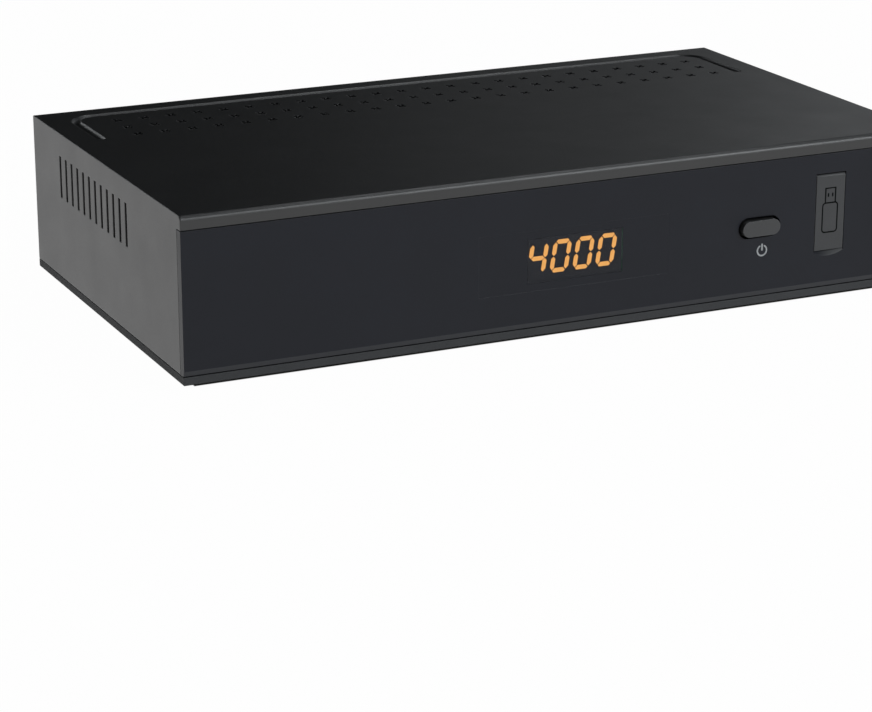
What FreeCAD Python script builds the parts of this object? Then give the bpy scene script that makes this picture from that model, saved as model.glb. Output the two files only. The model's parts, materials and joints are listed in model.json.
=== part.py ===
import FreeCAD, Part
import math
import os
import Sketcher

from FreeCAD import Placement, Rotation, Vector

# Satellite TV receiver in a flat plastic case. +X is to the right as one faces the front panel, +Y runs from the
# front to the back, +Z is up. The origin is the middle of the whole object's footprint, on the plane of the feet.

SIZES = {
    # case
    "case_width": 220.0,
    "case_depth": 120.5,
    "case_height": 44.6,
    "cover_wall": 2.0,
    "cover_roof": 2.0,
    "cover_lip_radius": 1.4,
    "cover_edge_radius": 0.25,
    "lip_height": 3.71,
    "lip_thickness": 2.0,
    "seam": 0.25,
    "base_plate": 2.25,
    "base_edge_radius": 0.3,
    "base_set_back": 0.5,
    "rim_height": 6.0,
    "rim_thickness": 1.5,
    "rim_clearance": 0.3,
    "foot_height": 1.9,
    "foot_radius": 6.0,
    "foot_bevel": 0.6,
    "foot_seat_depth": 0.5,
    "foot_clearance": 0.1,
    "foot_inset_side": 22.0,
    "foot_inset_end": 15.0,
    # roof vents and the groove around them
    "vent_columns": 24,
    "vent_rows": 3,
    "vent_pitch_across": 8.0,
    "vent_pitch_deep": 8.75,
    "vent_shift": 1.7,
    "vent_inset_back": 16.05,
    "vent_span": 3.1,
    "vent_arm": 0.9,
    "groove_radius": 1.45,
    "groove_lift": 0.5,
    "groove_inset_side": 8.6,
    "groove_inset_back": 7.5,
    "groove_corner": 6.5,
    "groove_length": 26.8,
    # slots in the side walls and the bottom
    "slot_count": 12,
    "slot_pitch": 5.0,
    "slot_width": 1.6,
    "slot_length": 12.0,
    "slot_low": 28.0,
    "slot_inset_back": 24.0,
    "floor_slot_count": 14,
    "floor_slot_pitch": 6.0,
    "floor_slot_width": 2.0,
    "floor_slot_length": 24.0,
    # posts and screws that hold the case together
    "post_inset_side": 9.0,
    "post_inset_front": 20.0,
    "post_inset_back": 13.0,
    "post_radius": 4.4,
    "post_joint": 24.0,
    "post_gap": 0.1,
    "cover_post_radius": 3.2,
    "post_shelf": 3.0,
    "screw_shank": 1.4,
    "screw_clearance": 0.05,
    "screw_head_radius": 2.7,
    "screw_head_height": 1.8,
    "head_clearance": 0.3,
    "screw_length": 10.0,
    "cross_width": 0.6,
    "cross_length": 3.0,
    "cross_depth": 0.8,
    # front panel
    "panel_thickness": 2.5,
    "panel_chamfer_height": 1.45,
    "panel_chamfer_depth": 0.6,
    "panel_return_depth": 8.0,
    "panel_return_thickness": 1.5,
    "panel_tongue_height": 4.0,
    # display
    "display_x": 1.05,
    "display_z": 22.9,
    "window_width": 57.0,
    "window_height": 16.6,
    "window_thickness": 1.6,
    "window_ledge": 1.0,
    "display_gap": 0.3,
    "display_width": 30.2,
    "display_height": 14.0,
    "display_depth": 7.2,
    "digit_height": 8.9,
    "digit_width": 5.4,
    "digit_pitch": 6.86,
    "digit_slant": 9.1,
    "segment_width": 1.15,
    "segment_gap": 0.3,
    "segment_waist_gap": 0.14,
    "digit_cut_across": 1.25,
    "digit_cut_up": 1.5,
    "corner_gap_shift": 0.15,
    "segment_height": 0.2,
    "receiver_offset": 23.0,
    "receiver_width": 5.4,
    "receiver_height": 6.8,
    "receiver_thickness": 3.0,
    "receiver_dome": 2.2,
    "receiver_dome_show": 1.4,
    # power button and its switch
    "button_x": 58.0,
    "button_z": 24.05,
    "button_length": 11.75,
    "button_height": 4.45,
    "button_gap": 0.72,
    "button_proud": 1.3,
    "button_travel": 0.5,
    "button_flange": 1.0,
    "button_flange_thickness": 1.0,
    "button_flange_gap": 0.1,
    "button_stem_radius": 1.5,
    "switch_width": 6.0,
    "switch_thickness": 3.5,
    "plunger_radius": 1.75,
    "plunger_gap": 0.1,
    "plunger_show": 0.8,
    "plunger_hole_depth": 1.8,
    # flap over the front socket
    "flap_x": 80.6,
    "flap_top": 36.7,
    "flap_width": 9.2,
    "flap_height": 21.7,
    "flap_thickness": 1.8,
    "flap_gap": 0.2,
    "flap_top_gap": 0.3,
    "flap_knuckle": 1.2,
    "flap_edge_radius": 0.8,
    "flap_pin_radius": 0.7,
    "flap_pin_length": 1.2,
    "flap_pin_clearance": 0.05,
    "flap_pin_end_gap": 0.2,
    "flap_ledge": 0.7,
    "flap_ledge_gap": 0.05,
    "scoop_radius": 10.8,
    "scoop_depth": 4.2,
    "scoop_below_flap": 1.65,
    # front board
    "front_board_left": -48.0,
    "front_board_right": 93.0,
    "front_board_low": 7.5,
    "front_board_high": 40.0,
    "board_thickness": 1.6,
    "front_screw_x": 56.5,
    "front_screw_middle": 12.0,
    "front_screw_z": 12.8,
    "front_post_radius": 2.2,
    "front_screw_length": 6.0,
    # front socket
    "front_socket_setback": 3.0,
    "front_socket_width": 5.7,
    "front_socket_height": 13.1,
    "front_socket_depth": 14.0,
    "front_socket_wall": 0.3,
    "front_socket_tongue_thickness": 1.84,
    "front_socket_tongue_height": 11.1,
    "front_socket_tongue_depth": 8.9,
    "front_socket_tongue_offset": 0.7,
    "front_socket_back_wall": 3.0,
    "front_socket_board_gap": 0.3,
    # main board
    "board_width": 191.0,
    "board_set_back": 22.0,
    "board_gap": 0.3,
    "standoff_height": 6.0,
    "standoff_radius": 3.2,
    "board_screw_inset_side": 4.3,
    "board_screw_inset_front": 4.5,
    "board_screw_inset_back": 8.0,
    "board_screw_right_rear": 45.2,
    "board_screw_length": 5.5,
    # rear panel and its sockets
    "rear_recess": 1.5,
    "rear_sheet": 1.0,
    "rear_clearance": 0.2,
    "rear_rib_height": 3.0,
    "roof_rib_height": 1.4,
    "rear_rib_gap": 0.1,
    "rear_hole_clearance": 0.3,
    "socket_show": 0.8,
    "lnb_in_x": 82.0,
    "lnb_out_x": 60.0,
    "lnb_height": 8.5,
    "lnb_nose_radius": 4.76,
    "lnb_nose": 8.0,
    "lnb_shank_radius": 5.0,
    "lnb_bore_radius": 3.4,
    "lnb_insert_gap": 0.05,
    "lnb_insert_inset": 0.8,
    "lnb_contact_radius": 0.6,
    "lnb_nut": 2.2,
    "lnb_nut_show": 0.3,
    "lnb_nut_flats": 12.7,
    "lnb_nut_clearance": 0.05,
    "tuner_left": 50.5,
    "tuner_right": 91.5,
    "tuner_depth": 28.0,
    "tuner_height": 17.0,
    "tuner_sheet": 0.5,
    "tuner_lid_sheet": 0.4,
    "tuner_lid_gap": 0.05,
    "tuner_lid_skirt": 4.0,
    "av_x": 16.0,
    "av_width": 49.0,
    "av_height": 17.0,
    "av_depth": 25.0,
    "av_core_width": 42.6,
    "av_core_height": 11.0,
    "av_ring": 1.6,
    "av_ring_depth": 8.0,
    "av_corner": 5.5,
    "av_slot_pitch": 3.81,
    "av_slot_width": 1.1,
    "av_slot_height": 3.6,
    "av_slot_rise": 2.7,
    "av_flange": 6.0,
    "av_flange_thickness": 4.0,
    "socket_screw_length": 4.5,
    "video_x": -24.0,
    "video_width": 15.2,
    "video_height": 5.9,
    "video_depth": 11.5,
    "video_wall": 0.5,
    "video_corner": 1.6,
    "video_cavity_depth": 8.5,
    "video_socket_tongue_width": 11.6,
    "video_socket_tongue_thickness": 1.5,
    "video_socket_tongue_depth": 7.0,
    "audio_x": -41.0,
    "audio_width": 10.0,
    "audio_height": 12.5,
    "audio_depth": 13.0,
    "audio_centre": 7.0,
    "audio_barrel_radius": 4.15,
    "audio_barrel": 8.6,
    "audio_boss_radius": 5.0,
    "audio_bore_radius": 3.4,
    "audio_insert_gap": 0.05,
    "audio_pin_bore": 1.6,
    "network_x": -61.0,
    "network_width": 15.9,
    "network_height": 13.4,
    "network_depth": 18.0,
    "network_cavity_width": 11.9,
    "network_cavity_height": 7.0,
    "network_cavity_low": 3.6,
    "network_cavity_depth": 13.5,
    "network_latch_width": 6.1,
    "network_latch_height": 1.7,
    "dc_x": -81.0,
    "dc_width": 9.0,
    "dc_height": 11.0,
    "dc_depth": 14.0,
    "dc_centre": 6.5,
    "dc_bore_radius": 3.1,
    "dc_bore_depth": 9.5,
    "dc_pin_radius": 1.0,
    "dc_pin_inset": 1.0,
    # parts on the main board
    "chip_x": -8.0,
    "chip_from_front": 34.0,
    "chip_side": 27.0,
    "chip_thickness": 1.7,
    "sink_side": 30.0,
    "sink_base": 2.0,
    "sink_height": 11.0,
    "sink_fins": 8,
    "sink_fin_thickness": 1.2,
    "memory_gap": 6.0,
    "memory_width": 9.0,
    "memory_depth": 13.3,
    "memory_thickness": 1.1,
    "memory_pitch": 16.0,
    "capacitor_radius": 4.0,
    "capacitor_height": 12.0,
    "capacitor_x": -84.0,
    "capacitor_from_front": 14.0,
    "capacitor_pitch": 10.5,
    "capacitor_count": 5,
    "inductor_side": 7.3,
    "inductor_height": 4.5,
    "inductor_x": -62.0,
    "inductor_from_front": 18.0,
    "inductor_pitch": 12.0,
    "crystal_length": 11.0,
    "crystal_width": 4.6,
    "crystal_height": 3.6,
    "crystal_x": 30.0,
    "crystal_from_front": 46.0,
    # smart card reader
    "reader_left": 44.0,
    "reader_from_front": 8.0,
    "reader_depth": 57.0,
    "reader_height": 6.5,
    "reader_wall_gap": 0.3,
    "card_slot_height": 1.4,
    "card_slot_width": 54.6,
    "card_slot_rise": 3.2,
    "card_slot_length": 52.0,
    "wall_slot_height": 2.4,
    "wall_slot_width": 56.5,
    # ribbon cable and its headers
    "header_x": -34.0,
    "header_width": 18.0,
    "header_depth": 4.4,
    "header_height": 5.0,
    "header_from_front": 5.0,
    "header_z": 30.0,
    "ribbon_width": 15.0,
    "ribbon_thickness": 0.3,
    "ribbon_bend": 5.0,
}

doc = FreeCAD.newDocument("satellite_receiver")
sheet = doc.addObject("Spreadsheet::Sheet", "Size")
for row, (name, number) in enumerate(SIZES.items(), start=1):
    sheet.set(f"A{row}", name)
    sheet.set(f"B{row}", str(number))
    sheet.setAlias(f"B{row}", name)
doc.recompute()

# Planes and places that several pieces share, as expressions on the sheet.
SIDE = "(Size.case_width / 2)"
LNB_REACH = "(Size.lnb_nut + Size.lnb_nut_show + Size.lnb_nose - Size.rear_recess)"
FRONT = f"(-(Size.case_depth + {LNB_REACH} - Size.button_proud) / 2)"
BACK = f"({FRONT} + Size.case_depth)"
BASE = "Size.foot_height"
DECK = f"({BASE} + Size.base_plate)"
ROOF = f"({BASE} + Size.case_height)"
CEILING = f"({ROOF} - Size.cover_roof)"
LIP = f"({ROOF} - Size.lip_height)"
WALL = f"({SIDE} - Size.cover_wall)"
PANEL_BACK = f"({FRONT} + Size.panel_thickness)"
PANEL_LOW = f"({DECK} + Size.seam)"
PANEL_HIGH = f"({LIP} - Size.seam)"
REAR_FACE = f"({BACK} - Size.rear_recess)"
REAR_INSIDE = f"({REAR_FACE} - Size.rear_sheet)"
BOARD_LOW = f"({DECK} + Size.standoff_height)"
BOARD = f"({BOARD_LOW} + Size.board_thickness)"
BOARD_FRONT = f"({FRONT} + Size.board_set_back)"
BOARD_BACK = f"({REAR_INSIDE} - Size.board_gap)"
BOARD_SIDE = "(Size.board_width / 2)"
DISPLAY_FACE = f"({FRONT} + Size.window_thickness + Size.display_gap)"
FRONT_BOARD = f"({DISPLAY_FACE} + Size.display_depth)"
FRONT_BOARD_BACK = f"({FRONT_BOARD} + Size.board_thickness)"
SCREW_HOLE = "(Size.screw_shank + Size.screw_clearance)"
HEAD_HOLE = "(Size.screw_head_radius + Size.head_clearance)"
LNB_Z = f"({BOARD} + Size.lnb_height)"
LNB_NOSE_START = f"({REAR_FACE} + Size.lnb_nut + Size.lnb_nut_show)"
LNB_TIP = f"({LNB_NOSE_START} + Size.lnb_nose)"
SOCKET_FACE = f"({REAR_FACE} + Size.socket_show)"
FLAP_AXIS_Y = f"({FRONT} + Size.flap_knuckle)"
FLAP_AXIS_Z = "(Size.flap_top - Size.flap_knuckle)"
FLAP_LOW = "(Size.flap_top - Size.flap_height)"
FLAP_MIDDLE = "(Size.flap_top - Size.flap_height / 2)"
PLUNGER_TIP = f"({FRONT_BOARD} - Size.switch_thickness - Size.plunger_show)"
CHIP_Y = f"({BOARD_FRONT} + Size.chip_from_front)"
READER_FRONT = f"({BOARD_FRONT} + Size.reader_from_front)"
READER_Y = f"({READER_FRONT} + Size.reader_depth / 2)"
CARD_Z = f"({BOARD} + Size.card_slot_rise)"

POSTS = [
    (f"({side} * ({SIDE} - Size.post_inset_side))", y)
    for side in (-1, 1)
    for y in (f"({FRONT} + Size.post_inset_front)", f"({BACK} - Size.post_inset_back)")
]
BOARD_SCREWS = [
    (f"(Size.board_screw_inset_side - {BOARD_SIDE})", f"({BOARD_FRONT} + Size.board_screw_inset_front)"),
    (f"({BOARD_SIDE} - Size.board_screw_inset_side)", f"({BOARD_FRONT} + Size.board_screw_inset_front)"),
    (f"(Size.board_screw_inset_side - {BOARD_SIDE})", f"({BOARD_BACK} - Size.board_screw_inset_back)"),
    ("Size.board_screw_right_rear", f"({BOARD_BACK} - Size.board_screw_inset_back)"),
]
FRONT_SCREWS = [f"({side} * Size.front_screw_x + Size.front_screw_middle)" for side in (-1, 0, 1)]
AV_SCREWS = [f"(Size.av_x + {side} * (Size.av_width + Size.av_flange) / 2)" for side in (-1, 1)]
FEET = {
    f"foot_{end}_{hand}": (f"({side} * ({SIDE} - Size.foot_inset_side))", y)
    for end, y in (("front", f"({FRONT} + Size.foot_inset_end)"), ("rear", f"({BACK} - Size.foot_inset_end)"))
    for hand, side in (("left", -1), ("right", 1))
}

nodes = []


def value(text):
    """The number that an expression on the sheet gives now."""
    return float(sheet.evalExpression(text))


def keep(thing, label):
    """Make a finished thing a node of the assembly."""
    thing.Label = label
    nodes.append(thing)
    return thing


def bind(thing, **expressions):
    for path, text in expressions.items():
        thing.setExpression(path.replace("__", "."), text)
    return thing


def place(thing, x, y, z):
    return bind(thing, Placement__Base__x=x, Placement__Base__y=y, Placement__Base__z=z)


def block(name, x, y, z):
    """A box between a low and a high expression along each axis."""
    box = doc.addObject("Part::Box", name)
    bind(box, Length=f"{x[1]} - {x[0]}", Width=f"{y[1]} - {y[0]}", Height=f"{z[1]} - {z[0]}")
    return place(box, x[0], y[0], z[0])


def rod(name, axis, start, radius, length):
    """A round bar from a start point along +X, +Y or +Z."""
    turn = {"X": (Vector(0, 1, 0), 90), "Y": (Vector(1, 0, 0), -90), "Z": (Vector(0, 0, 1), 0)}[axis]
    bar = doc.addObject("Part::Cylinder", name)
    bar.Placement = Placement(Vector(0, 0, 0), Rotation(*turn))
    bind(bar, Radius=radius, Height=length)
    return place(bar, *start)


def join(name, things):
    fuse = doc.addObject("Part::MultiFuse", name)
    fuse.Shapes = things
    fuse.Refine = True
    return fuse


def cut(name, base, tools):
    result = doc.addObject("Part::Cut", name)
    result.Base = base
    result.Tool = tools[0] if len(tools) == 1 else join(f"{name}_tools", tools)
    return result


def group(name, things):
    """Identical loose pieces that share one node."""
    together = doc.addObject("Part::Compound", name)
    together.Links = things
    return together


def stadium(name, x, z, length, height, y):
    """A bar with round ends, long along X, between two expressions in Y."""
    reach = f"({length} - {height}) / 2"
    span = f"{y[1]} - {y[0]}"
    middle = block(
        f"{name}_middle",
        (f"({x} - {reach})", f"({x} + {reach})"),
        y,
        (f"({z} - {height} / 2)", f"({z} + {height} / 2)"),
    )
    ends = [
        rod(f"{name}_end_{i}", "Y", (f"{x} + {side} * {reach}", y[0], z), f"{height} / 2", span)
        for i, side in enumerate((-1, 1))
    ]
    return join(name, [middle] + ends)


def new_body(name):
    return doc.addObject("PartDesign::Body", name)


def origin_part(body, role):
    return next(item for item in body.Origin.OriginFeatures if item.Role == role)


def sketch_on(body, name, role, offset):
    """A sketch on a plane parallel to one of the body's own planes, at a distance along that plane's normal."""
    sketch = body.newObject("Sketcher::SketchObject", name)
    sketch.AttachmentSupport = [(origin_part(body, role), "")]
    sketch.MapMode = "FlatFace"
    sketch.setExpression("AttachmentOffset.Base.z", offset)
    return sketch


def pin_point(sketch, geometry, point, x, y):
    """Hold one point of a sketch at named distances from the sketch's origin."""
    for kind, text in (("DistanceX", x), ("DistanceY", y)):
        row = sketch.addConstraint(Sketcher.Constraint(kind, -1, 1, geometry, point, value(text)))
        sketch.setExpression(f"Constraints[{row}]", text)


def outline(sketch, corners):
    """A closed polygon whose corners are held by expressions."""
    points = [Vector(value(x), value(y), 0) for x, y in corners]
    count = len(points)
    first = sketch.GeometryCount
    for i in range(count):
        sketch.addGeometry(Part.LineSegment(points[i], points[(i + 1) % count]), False)
    for i in range(count):
        sketch.addConstraint(Sketcher.Constraint("Coincident", first + i, 2, first + (i + 1) % count, 1))
    for i, (x, y) in enumerate(corners):
        pin_point(sketch, first + i, 1, x, y)


def rectangle(sketch, x, y):
    outline(sketch, [(x[0], y[0]), (x[1], y[0]), (x[1], y[1]), (x[0], y[1])])


def feature(body, kind, name, sketch, length, **settings):
    """A pad or pocket of a sketch, with a check that it changes the body."""
    before = body.Shape.Volume if body.Tip else 0
    item = body.newObject(f"PartDesign::{kind}", name)
    item.Profile = sketch
    for key, setting in settings.items():
        setattr(item, key, setting)
    item.setExpression("Length", length)
    doc.recompute()
    if abs(body.Shape.Volume - before) < 1e-6:
        raise RuntimeError(f"{name}: changes nothing")
    return item


def soften(body, name, radius, chosen):
    """Round the body's edges that a test chooses."""
    base = body.Tip
    edges = [f"Edge{i}" for i, edge in enumerate(base.Shape.Edges, start=1) if chosen(edge)]
    item = body.newObject("PartDesign::Fillet", name)
    item.Base = (base, edges)
    item.setExpression("Radius", radius)
    doc.recompute()
    return item


def edge_lies(edge, **planes):
    """Whether the whole edge lies at the given coordinates."""
    box = edge.BoundBox
    return all(
        abs(getattr(box, f"{axis.upper()}Min") - at) < 1e-4 and abs(getattr(box, f"{axis.upper()}Max") - at) < 1e-4
        for axis, at in planes.items()
    )


def repeat(body, name, original, runs):
    """A pattern of one feature along one or two of the body's axes: (axis, spacing, count) each."""
    pattern = body.newObject("PartDesign::LinearPattern", name)
    pattern.Originals = [original]
    for tail, (axis, spacing, count) in zip(("", "2"), runs):
        setattr(pattern, f"Direction{tail}", (origin_part(body, axis), [""]))
        setattr(pattern, f"Mode{tail}", "Spacing")
        pattern.setExpression(f"Offset{tail}", spacing)
        pattern.setExpression(f"Occurrences{tail}", count)
        setattr(pattern, f"Spacings{tail}", [-1] * round(value(count) - 1))
    body.Tip = pattern
    doc.recompute()
    return pattern


def circle(sketch, x, y, radius):
    row = sketch.addGeometry(Part.Circle(Vector(value(x), value(y), 0), Vector(0, 0, 1), value(radius)), False)
    pin_point(sketch, row, 3, x, y)
    held = sketch.addConstraint(Sketcher.Constraint("Radius", row, value(radius)))
    sketch.setExpression(f"Constraints[{held}]", radius)


def around(middle, size):
    """The low and high expressions of a size centred on a place."""
    return (f"({middle} - {size} / 2)", f"({middle} + {size} / 2)")


def from_low(low, size):
    return (low, f"({low} + {size})")


def screw(name, axis, across, seat, side, length):
    """A pan-head screw on its seat: its head on the + or - side of the seat along an axis, its shank on the other."""
    head_start = seat if side > 0 else f"({seat} - Size.screw_head_height)"
    shank_start = f"({seat} - {length})" if side > 0 else seat
    outer = f"({seat} + {side} * Size.screw_head_height)"
    recess = sorted((outer, f"({outer} - {side} * Size.cross_depth)"), key=value)

    def ordered(first, second, along):
        return (first, second, along) if axis == "Z" else (first, along, second)

    head = rod(f"{name}_head", axis, ordered(*across, head_start), "Size.screw_head_radius", "Size.screw_head_height")
    shank = rod(f"{name}_shank", axis, ordered(*across, shank_start), "Size.screw_shank", length)
    bars = []
    for i, sizes in enumerate((("Size.cross_length", "Size.cross_width"), ("Size.cross_width", "Size.cross_length"))):
        spans = [around(middle, size) for middle, size in zip(across, sizes)]
        bars.append(block(f"{name}_bar_{i}", *ordered(*spans, recess)))
    return cut(name, join(f"{name}_blank", [head, shank]), bars)


# Case


def groove_tool():
    """The U of the groove in the roof: round bars for its legs and its run, and quarter rings at the corners."""
    axis_z = f"({ROOF} + Size.groove_lift)"
    run_y = f"({BACK} - Size.groove_inset_back)"
    leg_x = f"({SIDE} - Size.groove_inset_side)"
    corner_y = f"({run_y} - Size.groove_corner)"
    corner_x = f"({leg_x} - Size.groove_corner)"
    end_y = f"({run_y} - Size.groove_length)"
    pieces = [rod("groove_run", "X", (f"-{corner_x}", run_y, axis_z), "Size.groove_radius", f"2 * {corner_x}")]
    for side, turn in ((1, 0), (-1, 90)):
        start = (f"{side} * {leg_x}", end_y, axis_z)
        pieces.append(rod(f"groove_leg_{turn}", "Y", start, "Size.groove_radius", f"{corner_y} - {end_y}"))
        tip = bind(doc.addObject("Part::Sphere", f"groove_tip_{turn}"), Radius="Size.groove_radius")
        pieces.append(place(tip, *start))
        ring = doc.addObject("Part::Torus", f"groove_corner_{turn}")
        ring.Angle3 = 90
        ring.Placement = Placement(Vector(0, 0, 0), Rotation(Vector(0, 0, 1), turn))
        bind(ring, Radius1="Size.groove_corner", Radius2="Size.groove_radius")
        pieces.append(place(ring, f"{side} * {corner_x}", corner_y, axis_z))
    return join("groove", pieces)


def top_cover():
    body = new_body("cover")
    plan = sketch_on(body, "cover_plan", "XY_Plane", f"{DECK} + Size.seam")
    rectangle(plan, (f"-{SIDE}", SIDE), (FRONT, BACK))
    feature(body, "Pad", "cover_block", plan, f"{ROOF} - {DECK} - Size.seam")
    front, back, roof, side = value(FRONT), value(BACK), value(ROOF), value(SIDE)
    soften(body, "cover_lip_edge", "Size.cover_lip_radius", lambda edge: edge_lies(edge, y=front, z=roof))
    others = [{"y": back, "z": roof}, {"x": side, "z": roof}, {"x": -side, "z": roof}]
    chosen = lambda edge: any(edge_lies(edge, **planes) for planes in others)
    soften(body, "cover_edges", "Size.cover_edge_radius", chosen)

    tunnel = sketch_on(body, "cover_tunnel", "XZ_Plane", f"-{FRONT}")
    rectangle(tunnel, (f"-{WALL}", WALL), (BASE, CEILING))
    feature(body, "Pocket", "cover_inside", tunnel, "Size.case_depth")
    face = sketch_on(body, "cover_face", "XZ_Plane", f"-{FRONT}")
    rectangle(face, (f"-{SIDE}", SIDE), (BASE, LIP))
    feature(body, "Pocket", "cover_front", face, "Size.panel_thickness + Size.seam")
    lip = sketch_on(body, "cover_lip_face", "XZ_Plane", f"-{FRONT}")
    rectangle(lip, (f"-{WALL}", WALL), (LIP, CEILING))
    feature(body, "Pad", "cover_lip", lip, "Size.lip_thickness", Reversed=True)

    mouth = sketch_on(body, "card_mouth", "YZ_Plane", SIDE)
    rectangle(mouth, around(READER_Y, "Size.wall_slot_width"), around(CARD_Z, "Size.wall_slot_height"))
    feature(body, "Pocket", "card_slot", mouth, "Size.cover_wall")

    posts = sketch_on(body, "cover_post_plan", "XY_Plane", CEILING)
    for x, y in POSTS:
        circle(posts, x, y, "Size.cover_post_radius")
    feature(body, "Pad", "cover_posts", posts, f"{CEILING} - Size.post_joint - Size.post_gap", Reversed=True)
    pilots = sketch_on(body, "cover_pilot_plan", "XY_Plane", "Size.post_joint + Size.post_gap")
    for x, y in POSTS:
        circle(pilots, x, y, SCREW_HOLE)
    feature(body, "Pocket", "cover_pilots", pilots, "Size.screw_length", Reversed=True)

    rib = sketch_on(body, "cover_rib_plan", "XY_Plane", CEILING)
    rib_back = f"({REAR_INSIDE} - Size.rear_rib_gap)"
    rectangle(rib, (f"-{WALL}", WALL), (f"({rib_back} - Size.rim_thickness)", rib_back))
    feature(body, "Pad", "cover_rib", rib, "Size.roof_rib_height", Reversed=True)

    slot = sketch_on(body, "side_slot", "YZ_Plane", SIDE)
    slot_y = f"({BACK} - Size.slot_inset_back - (Size.slot_count - 1) * Size.slot_pitch)"
    rectangle(slot, around(slot_y, "Size.slot_width"), from_low("Size.slot_low", "Size.slot_length"))
    first_slot = feature(body, "Pocket", "side_slots", slot, "Size.case_width")
    repeat(body, "side_slot_row", first_slot, [("Y_Axis", "Size.slot_pitch", "Size.slot_count")])

    cross = sketch_on(body, "vent_cross", "XY_Plane", ROOF)
    cross.AttachmentOffset = Placement(cross.AttachmentOffset.Base, Rotation(Vector(0, 0, 1), 45))
    first_x = "Size.vent_shift - (Size.vent_columns - 1) * Size.vent_pitch_across / 2"
    first_y = f"{BACK} - Size.vent_inset_back - (Size.vent_rows - 1) * Size.vent_pitch_deep"
    cross.setExpression("AttachmentOffset.Base.x", first_x)
    cross.setExpression("AttachmentOffset.Base.y", first_y)
    tip, arm = "Size.vent_span / 2", "Size.vent_arm / 2"
    corner = [(tip, arm), (arm, arm), (arm, tip)]
    turned = [
        [(f"{sx} * {x}", f"{sy} * {y}") for x, y in (corner if sx * sy > 0 else corner[::-1])]
        for sx, sy in ((1, 1), (-1, 1), (-1, -1), (1, -1))
    ]
    outline(cross, [point for quarter in turned for point in quarter])
    first_vent = feature(body, "Pocket", "vents", cross, "Size.cover_roof")
    across = ("X_Axis", "Size.vent_pitch_across", "Size.vent_columns")
    deep = ("Y_Axis", "Size.vent_pitch_deep", "Size.vent_rows")
    repeat(body, "vent_field", first_vent, [across, deep])
    keep(cut("top_cover", body, [groove_tool()]), "top_cover")


def bottom_case():
    body = new_body("tray")
    plan = sketch_on(body, "tray_plan", "XY_Plane", BASE)
    rectangle(plan, (f"-{SIDE}", SIDE), (f"({FRONT} + Size.base_set_back)", BACK))
    feature(body, "Pad", "tray_plate", plan, "Size.base_plate")
    low = value(BASE)
    soften(body, "tray_edges", "Size.base_edge_radius", lambda edge: edge_lies(edge, z=low))

    rim_out = f"({WALL} - Size.rim_clearance)"
    rim_in = f"({rim_out} - Size.rim_thickness)"
    rim_front = f"({PANEL_BACK} + Size.rim_clearance)"
    rim_front_in = f"({rim_front} + Size.rim_thickness)"
    rib_front = f"({REAR_INSIDE} - Size.rear_rib_gap - Size.rim_thickness)"
    rim_z = from_low(DECK, "Size.rim_height")
    rib_z = from_low(DECK, "Size.rear_rib_height")
    added = [
        block("tray_rim_front", (f"-{rim_out}", rim_out), (rim_front, rim_front_in), rim_z),
        block("tray_rim_left", (f"-{rim_out}", f"-{rim_in}"), (rim_front, rib_front), rim_z),
        block("tray_rim_right", (rim_in, rim_out), (rim_front, rib_front), rim_z),
        block("tray_rib_inner", (f"-{rim_out}", rim_out), from_low(rib_front, "Size.rim_thickness"), rib_z),
        block("tray_rib_outer", (f"-{rim_out}", rim_out), (f"({REAR_FACE} + Size.rear_rib_gap)", BACK), rib_z),
    ]
    tools = []
    for i, (x, y) in enumerate(POSTS):
        added.append(rod(f"tray_post_{i}", "Z", (x, y, DECK), "Size.post_radius", f"Size.post_joint - {DECK}"))
        head_depth = f"Size.post_joint - Size.post_shelf - {BASE}"
        tools.append(rod(f"tray_post_bore_{i}", "Z", (x, y, BASE), HEAD_HOLE, head_depth))
        tools.append(rod(f"tray_post_hole_{i}", "Z", (x, y, BASE), SCREW_HOLE, f"Size.post_joint + 1 - {BASE}"))
    for i, (x, y) in enumerate(BOARD_SCREWS):
        added.append(rod(f"standoff_{i}", "Z", (x, y, DECK), "Size.standoff_radius", "Size.standoff_height"))
        hole_low = f"({BOARD} - Size.board_screw_length - 1)"
        tools.append(rod(f"standoff_hole_{i}", "Z", (x, y, hole_low), SCREW_HOLE, f"{BOARD} - {hole_low}"))
    for i, (x, y) in enumerate(FEET.values()):
        radius = "Size.foot_radius + Size.foot_clearance"
        tools.append(rod(f"foot_seat_{i}", "Z", (x, y, BASE), radius, "Size.foot_seat_depth"))
    for i in range(SIZES["floor_slot_count"]):
        x = f"(({i} - (Size.floor_slot_count - 1) / 2) * Size.floor_slot_pitch)"
        y = around(f"(({FRONT} + {BACK}) / 2)", "Size.floor_slot_length")
        tools.append(block(f"floor_slot_{i}", around(x, "Size.floor_slot_width"), y, (BASE, DECK)))
    keep(cut("bottom_case", join("tray_blank", [body] + added), tools), "bottom_case")


def feet():
    for name, (x, y) in FEET.items():
        cone = doc.addObject("Part::Cone", f"{name}_bevel")
        bind(cone, Radius1="Size.foot_radius - Size.foot_bevel", Radius2="Size.foot_radius", Height="Size.foot_bevel")
        place(cone, x, y, "0")
        height = f"{BASE} + Size.foot_seat_depth - Size.foot_bevel"
        upper = rod(f"{name}_upper", "Z", (x, y, "Size.foot_bevel"), "Size.foot_radius", height)
        keep(join(name, [cone, upper]), name)


def case_screws():
    seat = "(Size.post_joint - Size.post_shelf)"
    screws = [screw(f"case_screw_{i}", "Z", at, seat, -1, "Size.screw_length") for i, at in enumerate(POSTS)]
    keep(group("case_screws", screws), "case_screws")


# Front


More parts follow.
